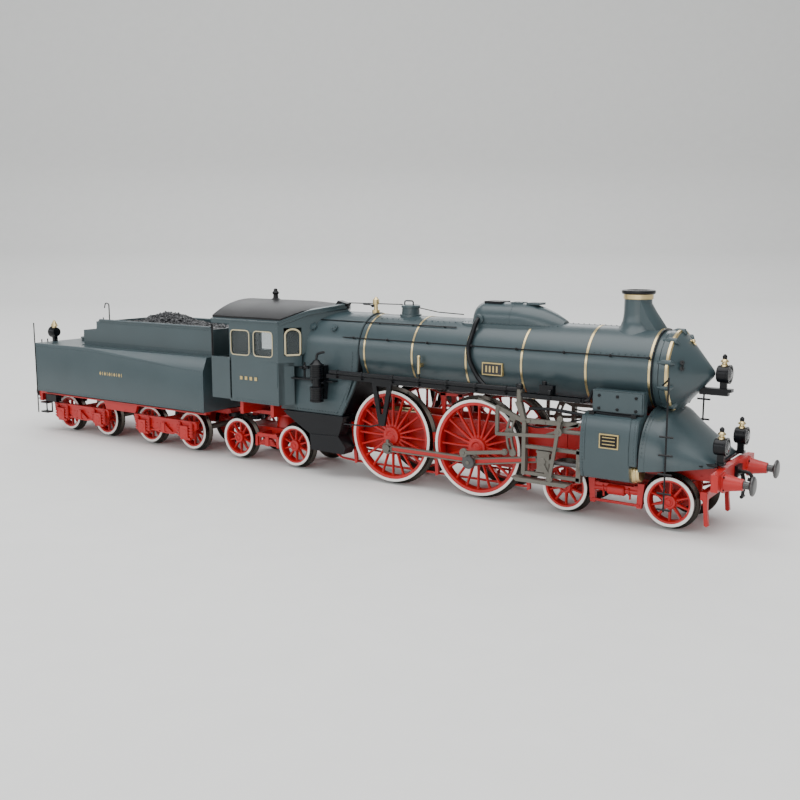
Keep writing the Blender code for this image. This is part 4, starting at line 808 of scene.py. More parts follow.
CYL_REAR, CYL_FRONT, NOTCH_X, NOTCH_Z = 58.5, 72.4, 70.6, 14.7
for side, name in ((1, "left"), (-1, "right")):
    bm = bmesh.new()
    prism(bm, "x", casing_outline(0), CYL_REAR, NOTCH_X, 0, 0.12)
    upper = [(y, max(z, NOTCH_Z)) for y, z in casing_outline(0)]
    prism(bm, "x", upper, NOTCH_X - 0.2, CYL_FRONT, 0)
    for x in (CYL_REAR + 0.1, 71.1):
        prism(bm, "x", [(y + 0.12 if y > 13 else y, z) for y, z in upper], x, x + 1.1, 0)
    bore = (12.35, 12.7)
    for a, r, mat in ((70.5, 2.7, 1), (71.1, 2.55, 1), (71.8, 2.3, 1)):
        disc(bm, "x", bore, r, a - 0.6, a + 0.55, 28, mat, 0.12)
    disc(bm, "x", bore, 2.9, CYL_REAR - 0.9, CYL_REAR + 0.4, 32, 3, 0.15)
    disc(bm, "x", (14.35, 12.7), 1.15, CYL_REAR - 0.9, CYL_REAR - 0.2, 20, 3, 0.1)
    for k in range(10):
        a = TURN * k / 10
        disc(bm, "x", (bore[0] + 2.35 * math.cos(a), bore[1] + 2.35 * math.sin(a)), 0.24,
             CYL_REAR - 1.15, CYL_REAR - 0.8, 6, 2)
    box(bm, (59.9, 72.3), (10.5, 12.9), (24.6, 31.2), 0, 0.25)
    box(bm, (60.2, 72.0), (12.8, 13.2), (26.2, 30.9), 0, 0.06)
    box(bm, (59.8, 72.3), (12.0, 13.35), (25.5, 26.2), 2, 0.08)
    for x in (61.6, 66.1, 70.6):
        for z in (26.9, 29.9):
            disc(bm, "y", (x, z), 0.4, 13.0, 13.4, 6, 2, 0.05)
    pipe = bent([(60.6, 13.6, 25.9), (66.0, 13.9, 25.6), (70.4, 13.9, 25.6), (72.0, 12.8, 24.8)])
    tube(bm, pipe, 0.32, 8, 2)
    for x in (60.4, 70.6):
        box(bm, (x - 0.6, x + 0.6), (13.3, 14.6), (24.6, 26.2), 2, 0.1)
    box(bm, (63.3, 68.0), (16.35, 16.62), (18.2, 21.6), 4, 0.06)
    box(bm, (63.6, 67.7), (16.5, 16.68), (18.5, 21.3), 2, 0.03)
    for z in (19.2, 20.0, 20.8):
        box(bm, (64.1, 67.2), (16.6, 16.72), (z - 0.1, z + 0.1), 4)
    piece("cylinder_casing_" + name, bm, [PAINT, BRASS, BLACK, MOTION, GOLD], "engine",
          side=side, nodes=["cylinder_" + name])
rivets = []
for x in (CYL_REAR + 0.65, 71.65):
    rivets += [(x, y + 0.14, z) for y, z in casing_outline(0)[2:25] if z > 14.9 or x < 60]
studs("cylinder_rivets", both(rivets), 0.14, PAINT, "engine")

# %% [markdown]
# ## Front apron
# The streamlined skirt under the nose. Its sections are arches between a few stations,
# squarer at the back, where they meet the cylinder casings.


# %% Apron
APRON_STATIONS = ((72.7, 16.2, 13.6, 27.4), (76.8, 14.8, 13.9, 26.6), (80.3, 13.2, 14.2, 23.8),
                  (84.0, 11.2, 14.6, 20.8), (87.7, 9.0, 15.0, 17.6))


def between(table, x, k):
    """Smooth value from a short table of stations."""
    for a, b in zip(table, table[1:]):
        if x <= b[0]:
            t = (x - a[0]) / (b[0] - a[0])
            return a[k] + (b[k] - a[k]) * t
    return table[-1][k]


def apron_arch(x, inset, n=36):
    w, low, top = (between(APRON_STATIONS, x, k) for k in (1, 2, 3))
    w, top = w - inset, top - inset
    square = max(0.0, (80.0 - x) / 7.3) * 0.28
    out = []
    for k in range(n + 1):
        c, s = math.cos(math.pi * k / n), math.sin(math.pi * k / n)
        out.append((x, w * math.copysign(abs(c) ** (1 - square), c), low + (top - low) * s ** (1 - square)))
    return out


bm = bmesh.new()
places = [72.7 + 15.0 * k / 20 for k in range(21)]
loops = [apron_arch(x, 0.0) + apron_arch(x, 0.8)[::-1] for x in places]
loft(bm, loops, 0)
seam = [apron_arch(x, -0.1) + apron_arch(x, 0.5)[::-1] for x in (72.75, 73.9)]
loft(bm, seam, 0)
front = apron_arch(87.7, 0.0, 20)
loft(bm, [front, [(87.9, y * 0.92, 15 + (z - 15) * 0.85) for _, y, z in front]], 0)
box(bm, (85.4, 88.5), (-9.6, 9.6), (15.45, 16.0), 1, 0.1)
box(bm, (73.4, 85.6), (-10.6, 10.6), (15.3, 15.6), 1)
piece("apron_skin", bm, [PAINT, BLACK], "engine", nodes=["front_apron"])
rivets = [Vector(p) + Vector((0.6, 0, 0)) for p in apron_arch(72.75, -0.14, 44)[2:-2]]
rivets = [tuple(p) for p in rivets if abs(p.y) > 9.2 or p.z < 25.0]
studs("apron_rivets", rivets, 0.15, PAINT, "engine")

# %% [markdown]
# ## Buffer beam, lamps and front fittings
# The beam is red with conical buffer housings. The hook and the lamps are black.

# %% Beam
bm = bmesh.new()
low, high = 10.9, 15.4
outline = [(-14.5, low), (-7.0, low + 0.8), (7.0, low + 0.8), (14.5, low), (14.5, high - 0.6),
           (7.0, high), (-7.0, high), (-14.5, high - 0.6)]
prism(bm, "x", outline, 88.8, 90.35, 0, 0.15)
for side in (1, -1):
    c = (side * 10.06, 12.4)
    turned(bm, "x", c, [(90.2, 2.4), (90.6, 2.4), (90.75, 2.0), (92.2, 1.7), (94.2, 1.35),
                        (94.6, 1.3), (94.7, 1.25)], 28, 0)
    for k in range(4):
        a = TURN * (k + 0.5) / 4
        disc(bm, "x", (c[0] + 2.0 * math.cos(a), c[1] + 2.0 * math.sin(a)), 0.28, 90.5, 90.9,
             6, 1)
box(bm, (90.3, 91.1), (-1.9, 1.9), (12.0, 14.6), 1, 0.12)
tube(bm, bent([(90.8, 0, 13.1), (93.0, 0, 13.1), (93.9, 0, 12.2), (93.6, 0, 11.3), (92.9, 0, 11.5)],
              5, 0.7), 0.42, 10, 1)
for side in (1, -1):
    tube(bm, bent([(91.6, side * 0.75, 12.8), (92.2, side * 0.85, 10.0), (91.9, side * 0.5, 7.4)]),
         0.25, 8, 1)
disc(bm, "y", (91.9, 7.3), 0.42, -0.9, 0.9, 10, 1)
piece("front_beam_plate", bm, [RED, BLACK], "engine", nodes=["front_beam"])


# %% Lamps
def lamp(bm, x, y, z, size, drop):
    """A short drum lamp with a lens forward, a tall pointed chimney and a bracket below."""
    turned(bm, "x", (y, z), [(x - size * 0.7, size * 0.92), (x - size * 0.6, size),
                             (x + size * 0.5, size), (x + size * 0.55, size * 1.1),
                             (x + size * 0.75, size * 1.1), (x + size * 0.75, size * 0.9),
                             (x + size * 0.55, size * 0.8)], 28, 0)
    turned(bm, "x", (y, z), [(x + size * 0.5, size * 0.86), (x + size * 0.7, size * 0.75),
                             (x + size * 0.84, size * 0.45), (x + size * 0.88, size * 0.1)], 28, 1)
    turned(bm, "z", (x, y), [(z + size * 0.85, 0.9), (z + size * 1.1, 0.8), (z + size * 1.15, 0.6),
                             (z + size * 1.35, 0.55), (z + size * 1.4, 0.95),
                             (z + size * 1.55, 0.85), (z + size * 1.8, 0.3)], 16, 2)
    turned(bm, "z", (x, y), [(z + size * 1.75, 0.5), (z + size * 2.05, 0.55),
                             (z + size * 2.2, 0.35), (z + size * 2.3, 0.12)], 16, 0)
    box(bm, (x - size * 0.4, x + size * 0.4), (y - 0.35, y + 0.35), (z - drop, z - size * 0.9), 0,
        0.06)


bm = bmesh.new()
lamp(bm, 86.3, 0.0, 35.3, 2.0, 3.4)
box(bm, (80.2, 88.4), (-1.0, 1.0), (31.2, 31.9), 0, 0.1)
box(bm, (81.0, 87.6), (-0.8, 0.8), (30.3, 31.2), 0, 0.15)
piece("top_lamp_drum", bm, [BLACK, LENS, BRASS], "engine",
      nodes=["lamp_top"])
for side, name in ((1, "left"), (-1, "right")):
    bm = bmesh.new()
    lamp(bm, 88.8, side * 7.9, 20.0, 1.95, 4.2)
    box(bm, (87.9, 89.8), span(side, 7.0, 8.8), (15.75, 16.3), 0, 0.08)
    piece("lower_lamp_drum_" + name, bm, [BLACK, LENS, BRASS], "engine",
          nodes=["lamp_" + name])

# %% [markdown]
# ## Pipes, rails and running gear brackets
# Thin lines carry much of the look: a handrail on knobs along the boiler, a fat tube where
# a running board would be, and a steam pipe that drops from the dome.

# %% Running board tubes and brackets
for side, name in ((1, "left"), (-1, "right")):
    bm = bmesh.new()
    tube(bm, [(-17.5, 14.0, 29.55), (41.8, 14.0, 29.55)], 0.62, 14, 0)
    box(bm, (-18.6, 58.2), (12.9, 14.3), (27.8, 28.9), 0, 0.1)
    box(bm, (42.0, 57.6), (13.3, 14.7), (28.1, 28.9), 0, 0.1)
    for x in (-15.0, -6.5, 3.6, 12.0, 20.5, 29.0, 37.5, 49.5):
        box(bm, (x - 0.35, x + 0.35), (10.4, 14.9), (28.1, 28.6), 0, 0.06)
        disc(bm, "x", (14.0, 29.55), 0.8, x - 0.35, x + 0.35, 16, 0, 0.08)
    leg = [(-3.4, 28.4), (3.4, 28.4), (0.9, 16.2), (-0.9, 16.2)]
    hole = [(-1.7, 26.9), (1.7, 26.9), (0.35, 19.4), (-0.35, 19.4)]
    for a, b in ((0, 3), (2, 1)):
        strip = [leg[a], hole[a], hole[b], leg[b]]
        prism(bm, "y", strip, 13.35, 14.15, 0, 0.05)
    prism(bm, "y", [leg[0], leg[1], hole[1], hole[0]], 13.35, 14.15, 0, 0.05)
    prism(bm, "y", [hole[3], hole[2], leg[2], leg[3]], 13.35, 14.15, 0, 0.05)
    tube(bm, [(0, 13.8, 16.6), (-4.0, 13.8, 15.6), (-13.0, 13.7, 15.3)], 0.22, 8, 0)
    tube(bm, bent([(58.0, 13.7, 28.3), (59.0, 13.2, 28.3), (59.4, 11.9, 30.6)]), 0.34, 10, 0)
    ball(bm, (41.3, 14.0, 30.3), 0.95, 16, 0)
    piece("running_board_tube_" + name, bm, BLACK, "engine", side=side,
          nodes=["running_board_" + name])

# %% Boiler rails, pipes and fittings
bm = bmesh.new()


def on_boiler(x, z, lift, side=1):
    """A point above the barrel's skin at one height."""
    angle = math.asin((z - BOILER_Z) / BOILER_R)
    r = BOILER_R + lift
    return (x, side * r * math.cos(angle), BOILER_Z + r * math.sin(angle))


for side in (1, -1):
    rail = [on_boiler(x, 38.7, 0.75, side) for x in (-16.0, 72.2)]
    tube(bm, rail, 0.17, 8, 0)
    for x in (-12.4, -1.0, 11.8, 25.2, 38.0, 50.8, 62.6, 72.0):
        tube(bm, [on_boiler(x, 38.7, -0.2, side), on_boiler(x, 38.7, 0.75, side)], 0.2, 8, 0)
        ball(bm, on_boiler(x, 38.7, 0.78, side), 0.4, 10, 0)
    tube(bm, [on_boiler(x, 42.9, 0.3, side) for x in (-30.0, 18.6)], 0.17, 6, 0)
    for x in (-6.0, 5.0, 15.0):
        ball(bm, on_boiler(x, 42.9, 0.2, side), 0.3, 8, 0)
    pipe = [(24.5, side * 4.4, 46.0), (24.5, side * 6.3, 45.0), on_boiler(24.4, 42.0, 0.8, side),
            on_boiler(24.3, 38.4, 0.9, side), on_boiler(25.0, 35.4, 0.9, side),
            on_boiler(27.5, 31.0, 1.2, side), (31.5, side * 11.9, 28.6)]
    tube(bm, bent(pipe, 6, 2.4), 0.62, 12, 0)
    disc(bm, "y", (24.5, 45.4), 1.35, *span(side, 4.6, 5.6), 20, 4, 0.2)
    box(bm, (46.5, 50.0), span(side, 12.2, 13.9), (28.9, 31.2), 0, 0.2)
    disc(bm, "z", (47.4, side * 13.0), 0.6, 31.1, 32.1, 12, 0, 0.1)
    valve = on_boiler(10.0, 33.0, 0.0, side)
    tube(bm, [valve, on_boiler(10.0, 33.2, 1.5, side)], 0.55, 12, 1)
    tube(bm, [(10.0, side * 11.2, 35.1), (10.0, side * 11.2, 30.8)], 0.42, 12, 1)
    ball(bm, (10.0, side * 11.2, 35.2), 0.5, 12, 1)
    tube(bm, bent([(10.0, side * 11.2, 31.0), (10.2, side * 11.4, 29.6), (13.0, side * 12.4, 28.6)]),
         0.28, 8, 0)
    for edge, y, mat in ((0.0, 10.4, 2), (0.3, 10.45, 3)):
        box(bm, (28.6 + edge, 34.4 - edge), span(side, 9.5, y), (31.9 + edge, 35.1 - edge),
            mat, 0.04)
    for x in (29.9, 30.9, 31.9, 32.9):
        box(bm, (x - 0.22, x + 0.22), span(side, 10.3, 10.5), (32.7, 34.3), 2)
turned(bm, "z", (0, 0), [(44.0, 3.1), (45.4, 3.0), (45.5, 2.5), (47.2, 2.4), (47.3, 2.65),
                         (47.8, 2.6), (48.0, 2.2), (48.05, 0.5)], 36, 4)
tube(bm, bent([(-1.4, -0.9, 47.7), (-1.4, -0.9, 49.1), (1.4, -0.9, 49.1), (1.4, -0.9, 47.7)], 5,
              0.5), 0.2, 8, 0)
tube(bm, [(-21.8, 0.6, 47.7), (-3.0, 0.6, 47.9)], 0.15, 6, 0)
tube(bm, [(2.4, 0, 47.3), (9.0, 0, 46.3), (17.0, 0, 46.0)], 0.15, 6, 0)
for side in (1, -1):
    x, y = (78.7, -15.3) if side == -1 else (77.9, 13.1)
    top, foot = (35.6, 5.0) if side == -1 else (31.5, 19.6)
    tube(bm, [(x, y, foot), (x, y, top)], 0.22, 8, 0)
    for z in (22.2, 18.0, 13.6, 9.2, 5.5) if side == -1 else (27.0, 22.0):
        tube(bm, [(x - 1.6, y, z), (x + 1.6, y, z)], 0.26, 6, 0)
    tube(bm, [(x, y, top - 0.4), (75.6, side * 10.2, 33.0)], 0.2, 6, 0)
piece("boiler_pipework", bm, [BLACK, BRASS, GOLD, PLATE, PAINT], "engine")

# %% Whistle and air pump
bm = bmesh.new()
turned(bm, "z", (-11.8, 0), [(45.2, 1.1), (46.1, 1.1), (46.2, 0.6), (47.6, 0.55), (47.7, 0.9),
                             (49.0, 0.9), (49.4, 0.5), (49.8, 0.25)], 28, 0)
tube(bm, bent([(-12.0, 0, 46.9), (-13.8, 0, 47.5), (-16.5, 0.4, 47.5)]), 0.2, 8, 1)
disc(bm, "y", (-12.9, 47.2), 0.4, -0.3, 0.3, 10, 1)
piece("whistle_bell", bm, [BRASS, BLACK], "engine", nodes=["whistle"])

bm = bmesh.new()
PUMP = (-21.6, -14.9)
turned(bm, "z", PUMP, [(20.8, 1.2), (20.9, 1.7), (21.0, 1.95), (21.4, 1.95), (21.5, 1.7),
                       (24.5, 1.7), (24.6, 1.95), (25.1, 1.95), (25.3, 1.2), (27.4, 1.1),
                       (27.5, 1.85), (28.0, 1.85), (28.1, 1.65), (30.9, 1.65), (31.0, 1.85),
                       (31.5, 1.85), (32.0, 1.2), (32.7, 0.8), (32.8, 0.3)], 32, 0)
for z in (21.8, 22.4, 23.0, 23.6, 24.2, 28.6, 29.2, 29.8, 30.4):
    disc(bm, "z", PUMP, 1.88, z - 0.12, z + 0.12, 32, 0)
for z, x in ((26.3, 2.2), (31.2, 1.9)):
    tube(bm, [(PUMP[0] - x, -14.3, z), (PUMP[0] + x, -14.3, z)], 0.45, 10, 0)
tube(bm, bent([(-21.6, -14.9, 32.6), (-21.6, -14.6, 34.4), (-20.2, -13.0, 34.8)]), 0.35, 8, 0)
box(bm, (-23.0, -20.2), (-13.3, -11.3), (21.5, 31.0), 0, 0.1)
box(bm, (-32.4, -17.0), (-13.6, -11.2), (26.5, 26.9), 0, 0.05)
ball(bm, (-27.8, -12.6, 29.9), 0.75, 14, 0)
tube(bm, [(-27.8, -12.6, 27.0), (-27.8, -12.6, 31.4)], 0.32, 8, 0)
tube(bm, [(-29.3, -12.8, 29.9), (-26.2, -12.8, 29.9)], 0.32, 8, 0)
tube(bm, [(-27.8, -14.0, 29.9), (-27.8, -10.6, 29.9)], 0.3, 8, 0)
piece("pump_cylinders", bm, BLACK, "engine", nodes=["air_pump"])

# %% [markdown]
# ## Main frame
# Deep red plates with the axle horns, a bracket between the drivers, brake hangers beside
# each tyre, and the drawgear at the back.

# %% Main frame, stretcher and brakes
bm = bmesh.new()
plate = [(-60.2, 13.3), (-13.5, 13.3), (-13.5, 7.6), (41.0, 7.6), (46.0, 11.0), (84.5, 11.0),
         (86.0, 11.0), (88.4, 11.0), (88.4, 13.8), (76.0, 20.5), (74.0, 23.5), (57.0, 23.5),
         (50.0, 19.0), (-13.5, 19.0), (-13.5, 14.4), (-60.2, 14.4)]
for side in (1, -1):
    y = span(side, 4.3, 5.5)
    prism(bm, "y", plate, y[0], y[1], 0, 0.12)
    for x in (0.0, 27.0):
        y = span(side, 5.4, 5.9)
        box(bm, (x - 3.0, x + 3.0), y, (8.6, 17.4), 0, 0.15)
        disc(bm, "y", (x, 12.65), 2.6, *span(side, 5.5, 6.4), 24, 0, 0.15)
    for x in (13.5, 50.0, 66.0):
        box(bm, (x - 0.4, x + 0.4), span(side, 5.3, 5.75), (11.6, 18.4), 0, 0.06)
    for x, lean in ((-13.9, 0.6), (13.2, 0.5), (40.6, 0.4)):
        hanger = [(x - 0.5, 15.0), (x + 0.5, 15.0), (x + 0.9 + lean, 3.6), (x + lean, 3.2)]
        prism(bm, "y", hanger, *span(side, 7.7, 8.5), 0, 0.08)
        shoe_x = x + (0.9 if x > 0 else 1.2)
        shoe = [(shoe_x - 0.5, 12.6), (shoe_x + 0.35, 12.4), (shoe_x + 0.75, 9.0),
                (shoe_x + 0.1, 8.4)]
        if x < 30:
            prism(bm, "y", shoe, *span(side, 7.4, 9.2), 1, 0.08)
    tube(bm, [(-13.4, side * 7.0, 3.6), (40.9, side * 7.0, 3.8)], 0.32, 8, 0)
    tube(bm, bent([(-27.0, side * 5.2, 9.0), (-20.0, side * 6.4, 3.8), (-13.4, side * 7.0, 3.6)]),
         0.32, 8, 0)
box(bm, (-60.0, -13.6), (-4.4, 4.4), (13.4, 14.3), 0)
for x in (13.6, 38.0, 50.0):
    box(bm, (x - 1.0, x + 1.0), (-4.4, 4.4), (8.5, 18.6), 0, 0.1)
box(bm, (60.0, 71.0), (-4.4, 4.4), (12.0, 24.9), 0, 0.1)
box(bm, (72.0, 84.0), (-4.4, 4.4), (11.6, 12.4), 0, 0.1)
for x0, x1 in ((11.6, 13.3), (17.2, 18.6)):
    for side in (1, -1):
        prism(bm, "y", [(x0 + 0.9, 18.6), (x1, 18.6), (x1, 24.9), (x0, 24.9)],
              *span(side, 2.3, 3.0), 0, 0.06)
box(bm, (11.7, 18.5), (-3.0, 3.0), (24.2, 24.95), 0, 0.06)
box(bm, (12.6, 17.6), (-2.2, 2.2), (21.0, 21.6), 0)
disc(bm, "z", (64.95, 0), 1.15, 10.4, 12.0, 24, 0)
disc(bm, "z", (-45.6, 0), 1.15, 10.4, 13.8, 24, 0)
disc(bm, "z", (-58.2, 0), 1.15, 10.0, 13.8, 24, 0)
tube(bm, [(-34.0, -9.0, 15.9), (-14.2, -9.0, 14.9)], 0.3, 8, 1)
for x in (-40.0, -52.0):
    box(bm, (x - 0.6, x + 0.6), (-13.0, 13.0), (14.3, 18.85), 0, 0.1)
piece("frame_plates", bm, [RED, BLACK], "engine", nodes=["main_frame"])
frame_rivets = both(row((-10.0, 5.65, 18.1), (40.0, 5.65, 18.1), 2.3))
frame_rivets += both(row((46.0, 5.65, 12.0), (84.0, 5.65, 12.0), 2.3))
studs("frame_rivets", frame_rivets, 0.17, RED, "engine")

# %% [markdown]
# ## Wheels
# Every wheel is a tyre, a rim, a hub and a circle of tapered spokes. One spoke is drawn and a
# Geometry Nodes tree turns copies of it about the axle, so the count is a single number.


# %% Spoke tree and wheelsets
SPOKES, given, out = tree_with("spokes_about_axle", [
    ("Geometry", "NodeSocketGeometry", None), ("Count", "NodeSocketInt", 20),
    ("Step", "NodeSocketFloat", 0.3), ("Material", "NodeSocketMaterial", None)])
dots = SPOKES.nodes.new("GeometryNodePoints")
number = SPOKES.nodes.new("GeometryNodeInputIndex")
angle = SPOKES.nodes.new("ShaderNodeMath")
angle.operation = "MULTIPLY"
turn = SPOKES.nodes.new("ShaderNodeCombineXYZ")
spin = SPOKES.nodes.new("GeometryNodeInstanceOnPoints")
SPOKES.links.new(given.outputs["Count"], dots.inputs["Count"])
SPOKES.links.new(number.outputs["Index"], angle.inputs[0])
SPOKES.links.new(given.outputs["Step"], angle.inputs[1])
SPOKES.links.new(angle.outputs["Value"], turn.inputs["Y"])
SPOKES.links.new(dots.outputs["Points"], spin.inputs["Points"])
SPOKES.links.new(given.outputs["Geometry"], spin.inputs["Instance"])
SPOKES.links.new(turn.outputs["Vector"], spin.inputs["Rotation"])
chain(SPOKES, spin.outputs["Instances"], given, out, "Material")

def spoke_ring(bm, x, z, count, inner, outer, root, tip, y):
    """Add a ring of oval, tapered spokes about an axle at (x, z)."""
    one = bmesh.new()
    loops = []
    for t in (0.0, 0.12, 0.5, 0.9, 1.0):
        r = inner + (outer - inner) * t
        flare = 0.28 if t in (0.0, 1.0) else 0.0
        half = root + (tip - root) * t + flare
        deep = 0.62 - 0.18 * t
        loops.append([(half * math.cos(a), y + deep * math.sin(a), r)
                      for a in [TURN * (k + 0.5) / 8 for k in range(8)]])
    loft(one, loops)
    mesh = bpy.data.meshes.new("spoke")
    one.to_mesh(mesh)
    one.free()
    grown = grow(SPOKES, mesh, {"Count": count, "Step": TURN / count, "Material": RED})
    for v in grown.vertices:
        v.co.x += x
        v.co.z += z
    for f in grown.polygons:
        f.material_index = 0
    bm.from_mesh(grown)


def wheel(bm, x, radius, count, rim, hub, root, tip):
    """The left wheel of an axle: material 0 red, 1 white ring, 2 tread, 3 steel."""
    c = (x, radius)
    inner = radius - rim
    turned(bm, "y", c, [(9.45, inner), (9.7, inner + 0.12), (9.7, radius - 0.68),
                        (7.3, radius - 0.68), (7.3, inner)], 72, 0, closed=True)
    turned(bm, "y", c, [(9.5, radius - 0.78), (9.86, radius - 0.76), (9.9, radius - 0.7),
                        (9.9, radius - 0.14), (9.8, radius - 0.06), (9.5, radius - 0.05)], 72, 1,
           closed=True)
    turned(bm, "y", c, [(9.72, radius - 0.5), (9.7, radius - 0.05), (9.6, radius), (8.15, radius),
                        (7.85, radius + 0.45), (7.6, radius + FLANGE), (7.3, radius + FLANGE),
                        (7.12, radius + 0.45), (7.1, radius - 1.0)], 72, 2, closed=True)
    spoke_ring(bm, c[0], c[1], count, hub - 0.15, inner + 0.15, root, tip, 8.55)
    turned(bm, "y", c, [(7.2, hub * 0.95), (9.5, hub), (9.85, hub - 0.15), (9.95, hub - 0.4),
                        (9.95, hub * 0.62), (9.7, hub * 0.5), (9.7, hub * 0.34),
                        (9.88, hub * 0.28), (9.88, 0.1)], 36, 0)


def flip(bm):
    """Copy everything drawn on the left to the right."""
    twin = bmesh.ops.duplicate(bm, geom=bm.verts[:] + bm.edges[:] + bm.faces[:])["geom"]
    for v in twin:
        if isinstance(v, bmesh.types.BMVert):
            v.co.y = -v.co.y


CRANK = 3.0
RETURN_PIN = {1: (27.45, 11.85), -1: (26.2, 12.2)}


def crank_pin(x, side):
    return (x + CRANK, DRIVER_R) if side == 1 else (x, DRIVER_R - CRANK)


for name, x, front in (("driver_front", 27.0, True), ("driver_rear", 0.0, False)):
    bm = bmesh.new()
    wheel(bm, x, DRIVER_R, 20, 1.65, 2.55, 0.42, 0.29)
    flip(bm)
    disc(bm, "y", (x, DRIVER_R), 1.5, -7.4, 7.4, 24, 3, 0.1)
    if not front:
        disc(bm, "y", (x, DRIVER_R), 3.2, -1.5, 1.5, 32, 3, 0.15)
    for side in (1, -1):
        p = crank_pin(x, side)
        ends = lambda a, b: span(side, a, b)
        bar(bm, (x, DRIVER_R), p, 1.5, ends(8.4, 10.0), 0, 0.1, 1.1)
        disc(bm, "y", p, 1.35, *ends(8.4, 10.25), 24, 0, 0.12)
        disc(bm, "y", p, 0.85, *ends(10.1, 13.7 if front else 12.05), 20, 3, 0.08)
        if front:
            far = RETURN_PIN[side]
            bar(bm, (p[0] * 1.3 - far[0] * 0.3, p[1] * 1.3 - far[1] * 0.3), far, 1.55,
                ends(13.6, 14.3), 4, 0.15, 1.0)
            disc(bm, "y", p, 1.75, *ends(13.55, 14.35), 24, 4, 0.15)
            disc(bm, "y", p, 0.55, *ends(14.3, 14.55), 6, 3, 0.06)
            disc(bm, "y", far, 0.5, *ends(14.2, 15.5), 16, 3, 0.08)
        else:
            disc(bm, "y", p, 1.15, *ends(11.85, 12.1), 6, 3, 0.08)
    piece(name + "_wheels", bm, [RED, WHITE, TREAD, MOTION, DARK_STEEL], name,
          nodes=[name])

CARRIER_R = 5.95
CARRIERS = {"leading_wheels_front": 78.0, "leading_wheels_rear": 51.9,
            "trailing_wheels_front": -34.5, "trailing_wheels_rear": -56.7,
            "tender_wheels_1": -76.75, "tender_wheels_2": -96.15, "tender_wheels_3": -118.05,
            "tender_wheels_4": -137.45}
for name, x in CARRIERS.items():
    bm = bmesh.new()
    wheel(bm, x, CARRIER_R, 10, 1.35, 1.7, 0.42, 0.30)
    flip(bm)
    disc(bm, "y", (x, CARRIER_R), 0.9, -8.0, 8.0, 20, 3, 0.1)
    if name.startswith("tender"):
        disc(bm, "y", (x, CARRIER_R), 0.75, -10.9, 10.9, 20, 3, 0.1)
    piece(name + "_spoked", bm, [RED, WHITE, TREAD, MOTION], name, nodes=[name])

# %% [markdown]
# ## Rods and valve gear
# The side and main rods are fluted: a red web between grey edges. The valve gear is plain
# grey steel, thin and close to the wheels.


# %% Rods
def fluted(bm, p, q, half, ends, thick):
    """A fluted rod: red web (0), grey edges, eyes and nuts (1)."""
    lift = (thick[1] - thick[0]) * 0.22
    bar(bm, p, q, half[0] * 0.9, (thick[0] + lift, thick[1] - lift), 0, 0.0, half[1] * 0.9)
    dx, dz = q[0] - p[0], q[1] - p[1]
    size = math.hypot(dx, dz)
    ox, oz = -dz / size, dx / size
    for s in (1, -1):
        a = (p[0] + s * ox * half[0] * 0.82, p[1] + s * oz * half[0] * 0.82)
        b = (q[0] + s * ox * half[1] * 0.82, q[1] + s * oz * half[1] * 0.82)
        bar(bm, a, b, 0.17, thick, 1, 0.04)
    for c, r in zip((p, q), ends):
        turned(bm, "y", c, [(thick[0], r), (thick[1] - 0.1, r), (thick[1], r - 0.1),
                            (thick[1], 0.9), (thick[0], 0.9)], 32, 1, closed=True)
        box(bm, (c[0] - 0.4, c[0] + 0.4), (thick[0] + 0.2, thick[1] - 0.2),
            (c[1] + r - 0.2, c[1] + r + 0.75), 1, 0.08)


def main_rod_length():
    return math.dist(crank_pin(27.0, -1), (46.8, 12.7))


def crosshead_x(side):
    """Middle of the crosshead at rest, found from its own crank."""
    pin = crank_pin(27.0, side)
    reach = math.sqrt(main_rod_length() ** 2 - (12.7 - pin[1]) ** 2)
    return pin[0] + reach + 48.4 - 46.8


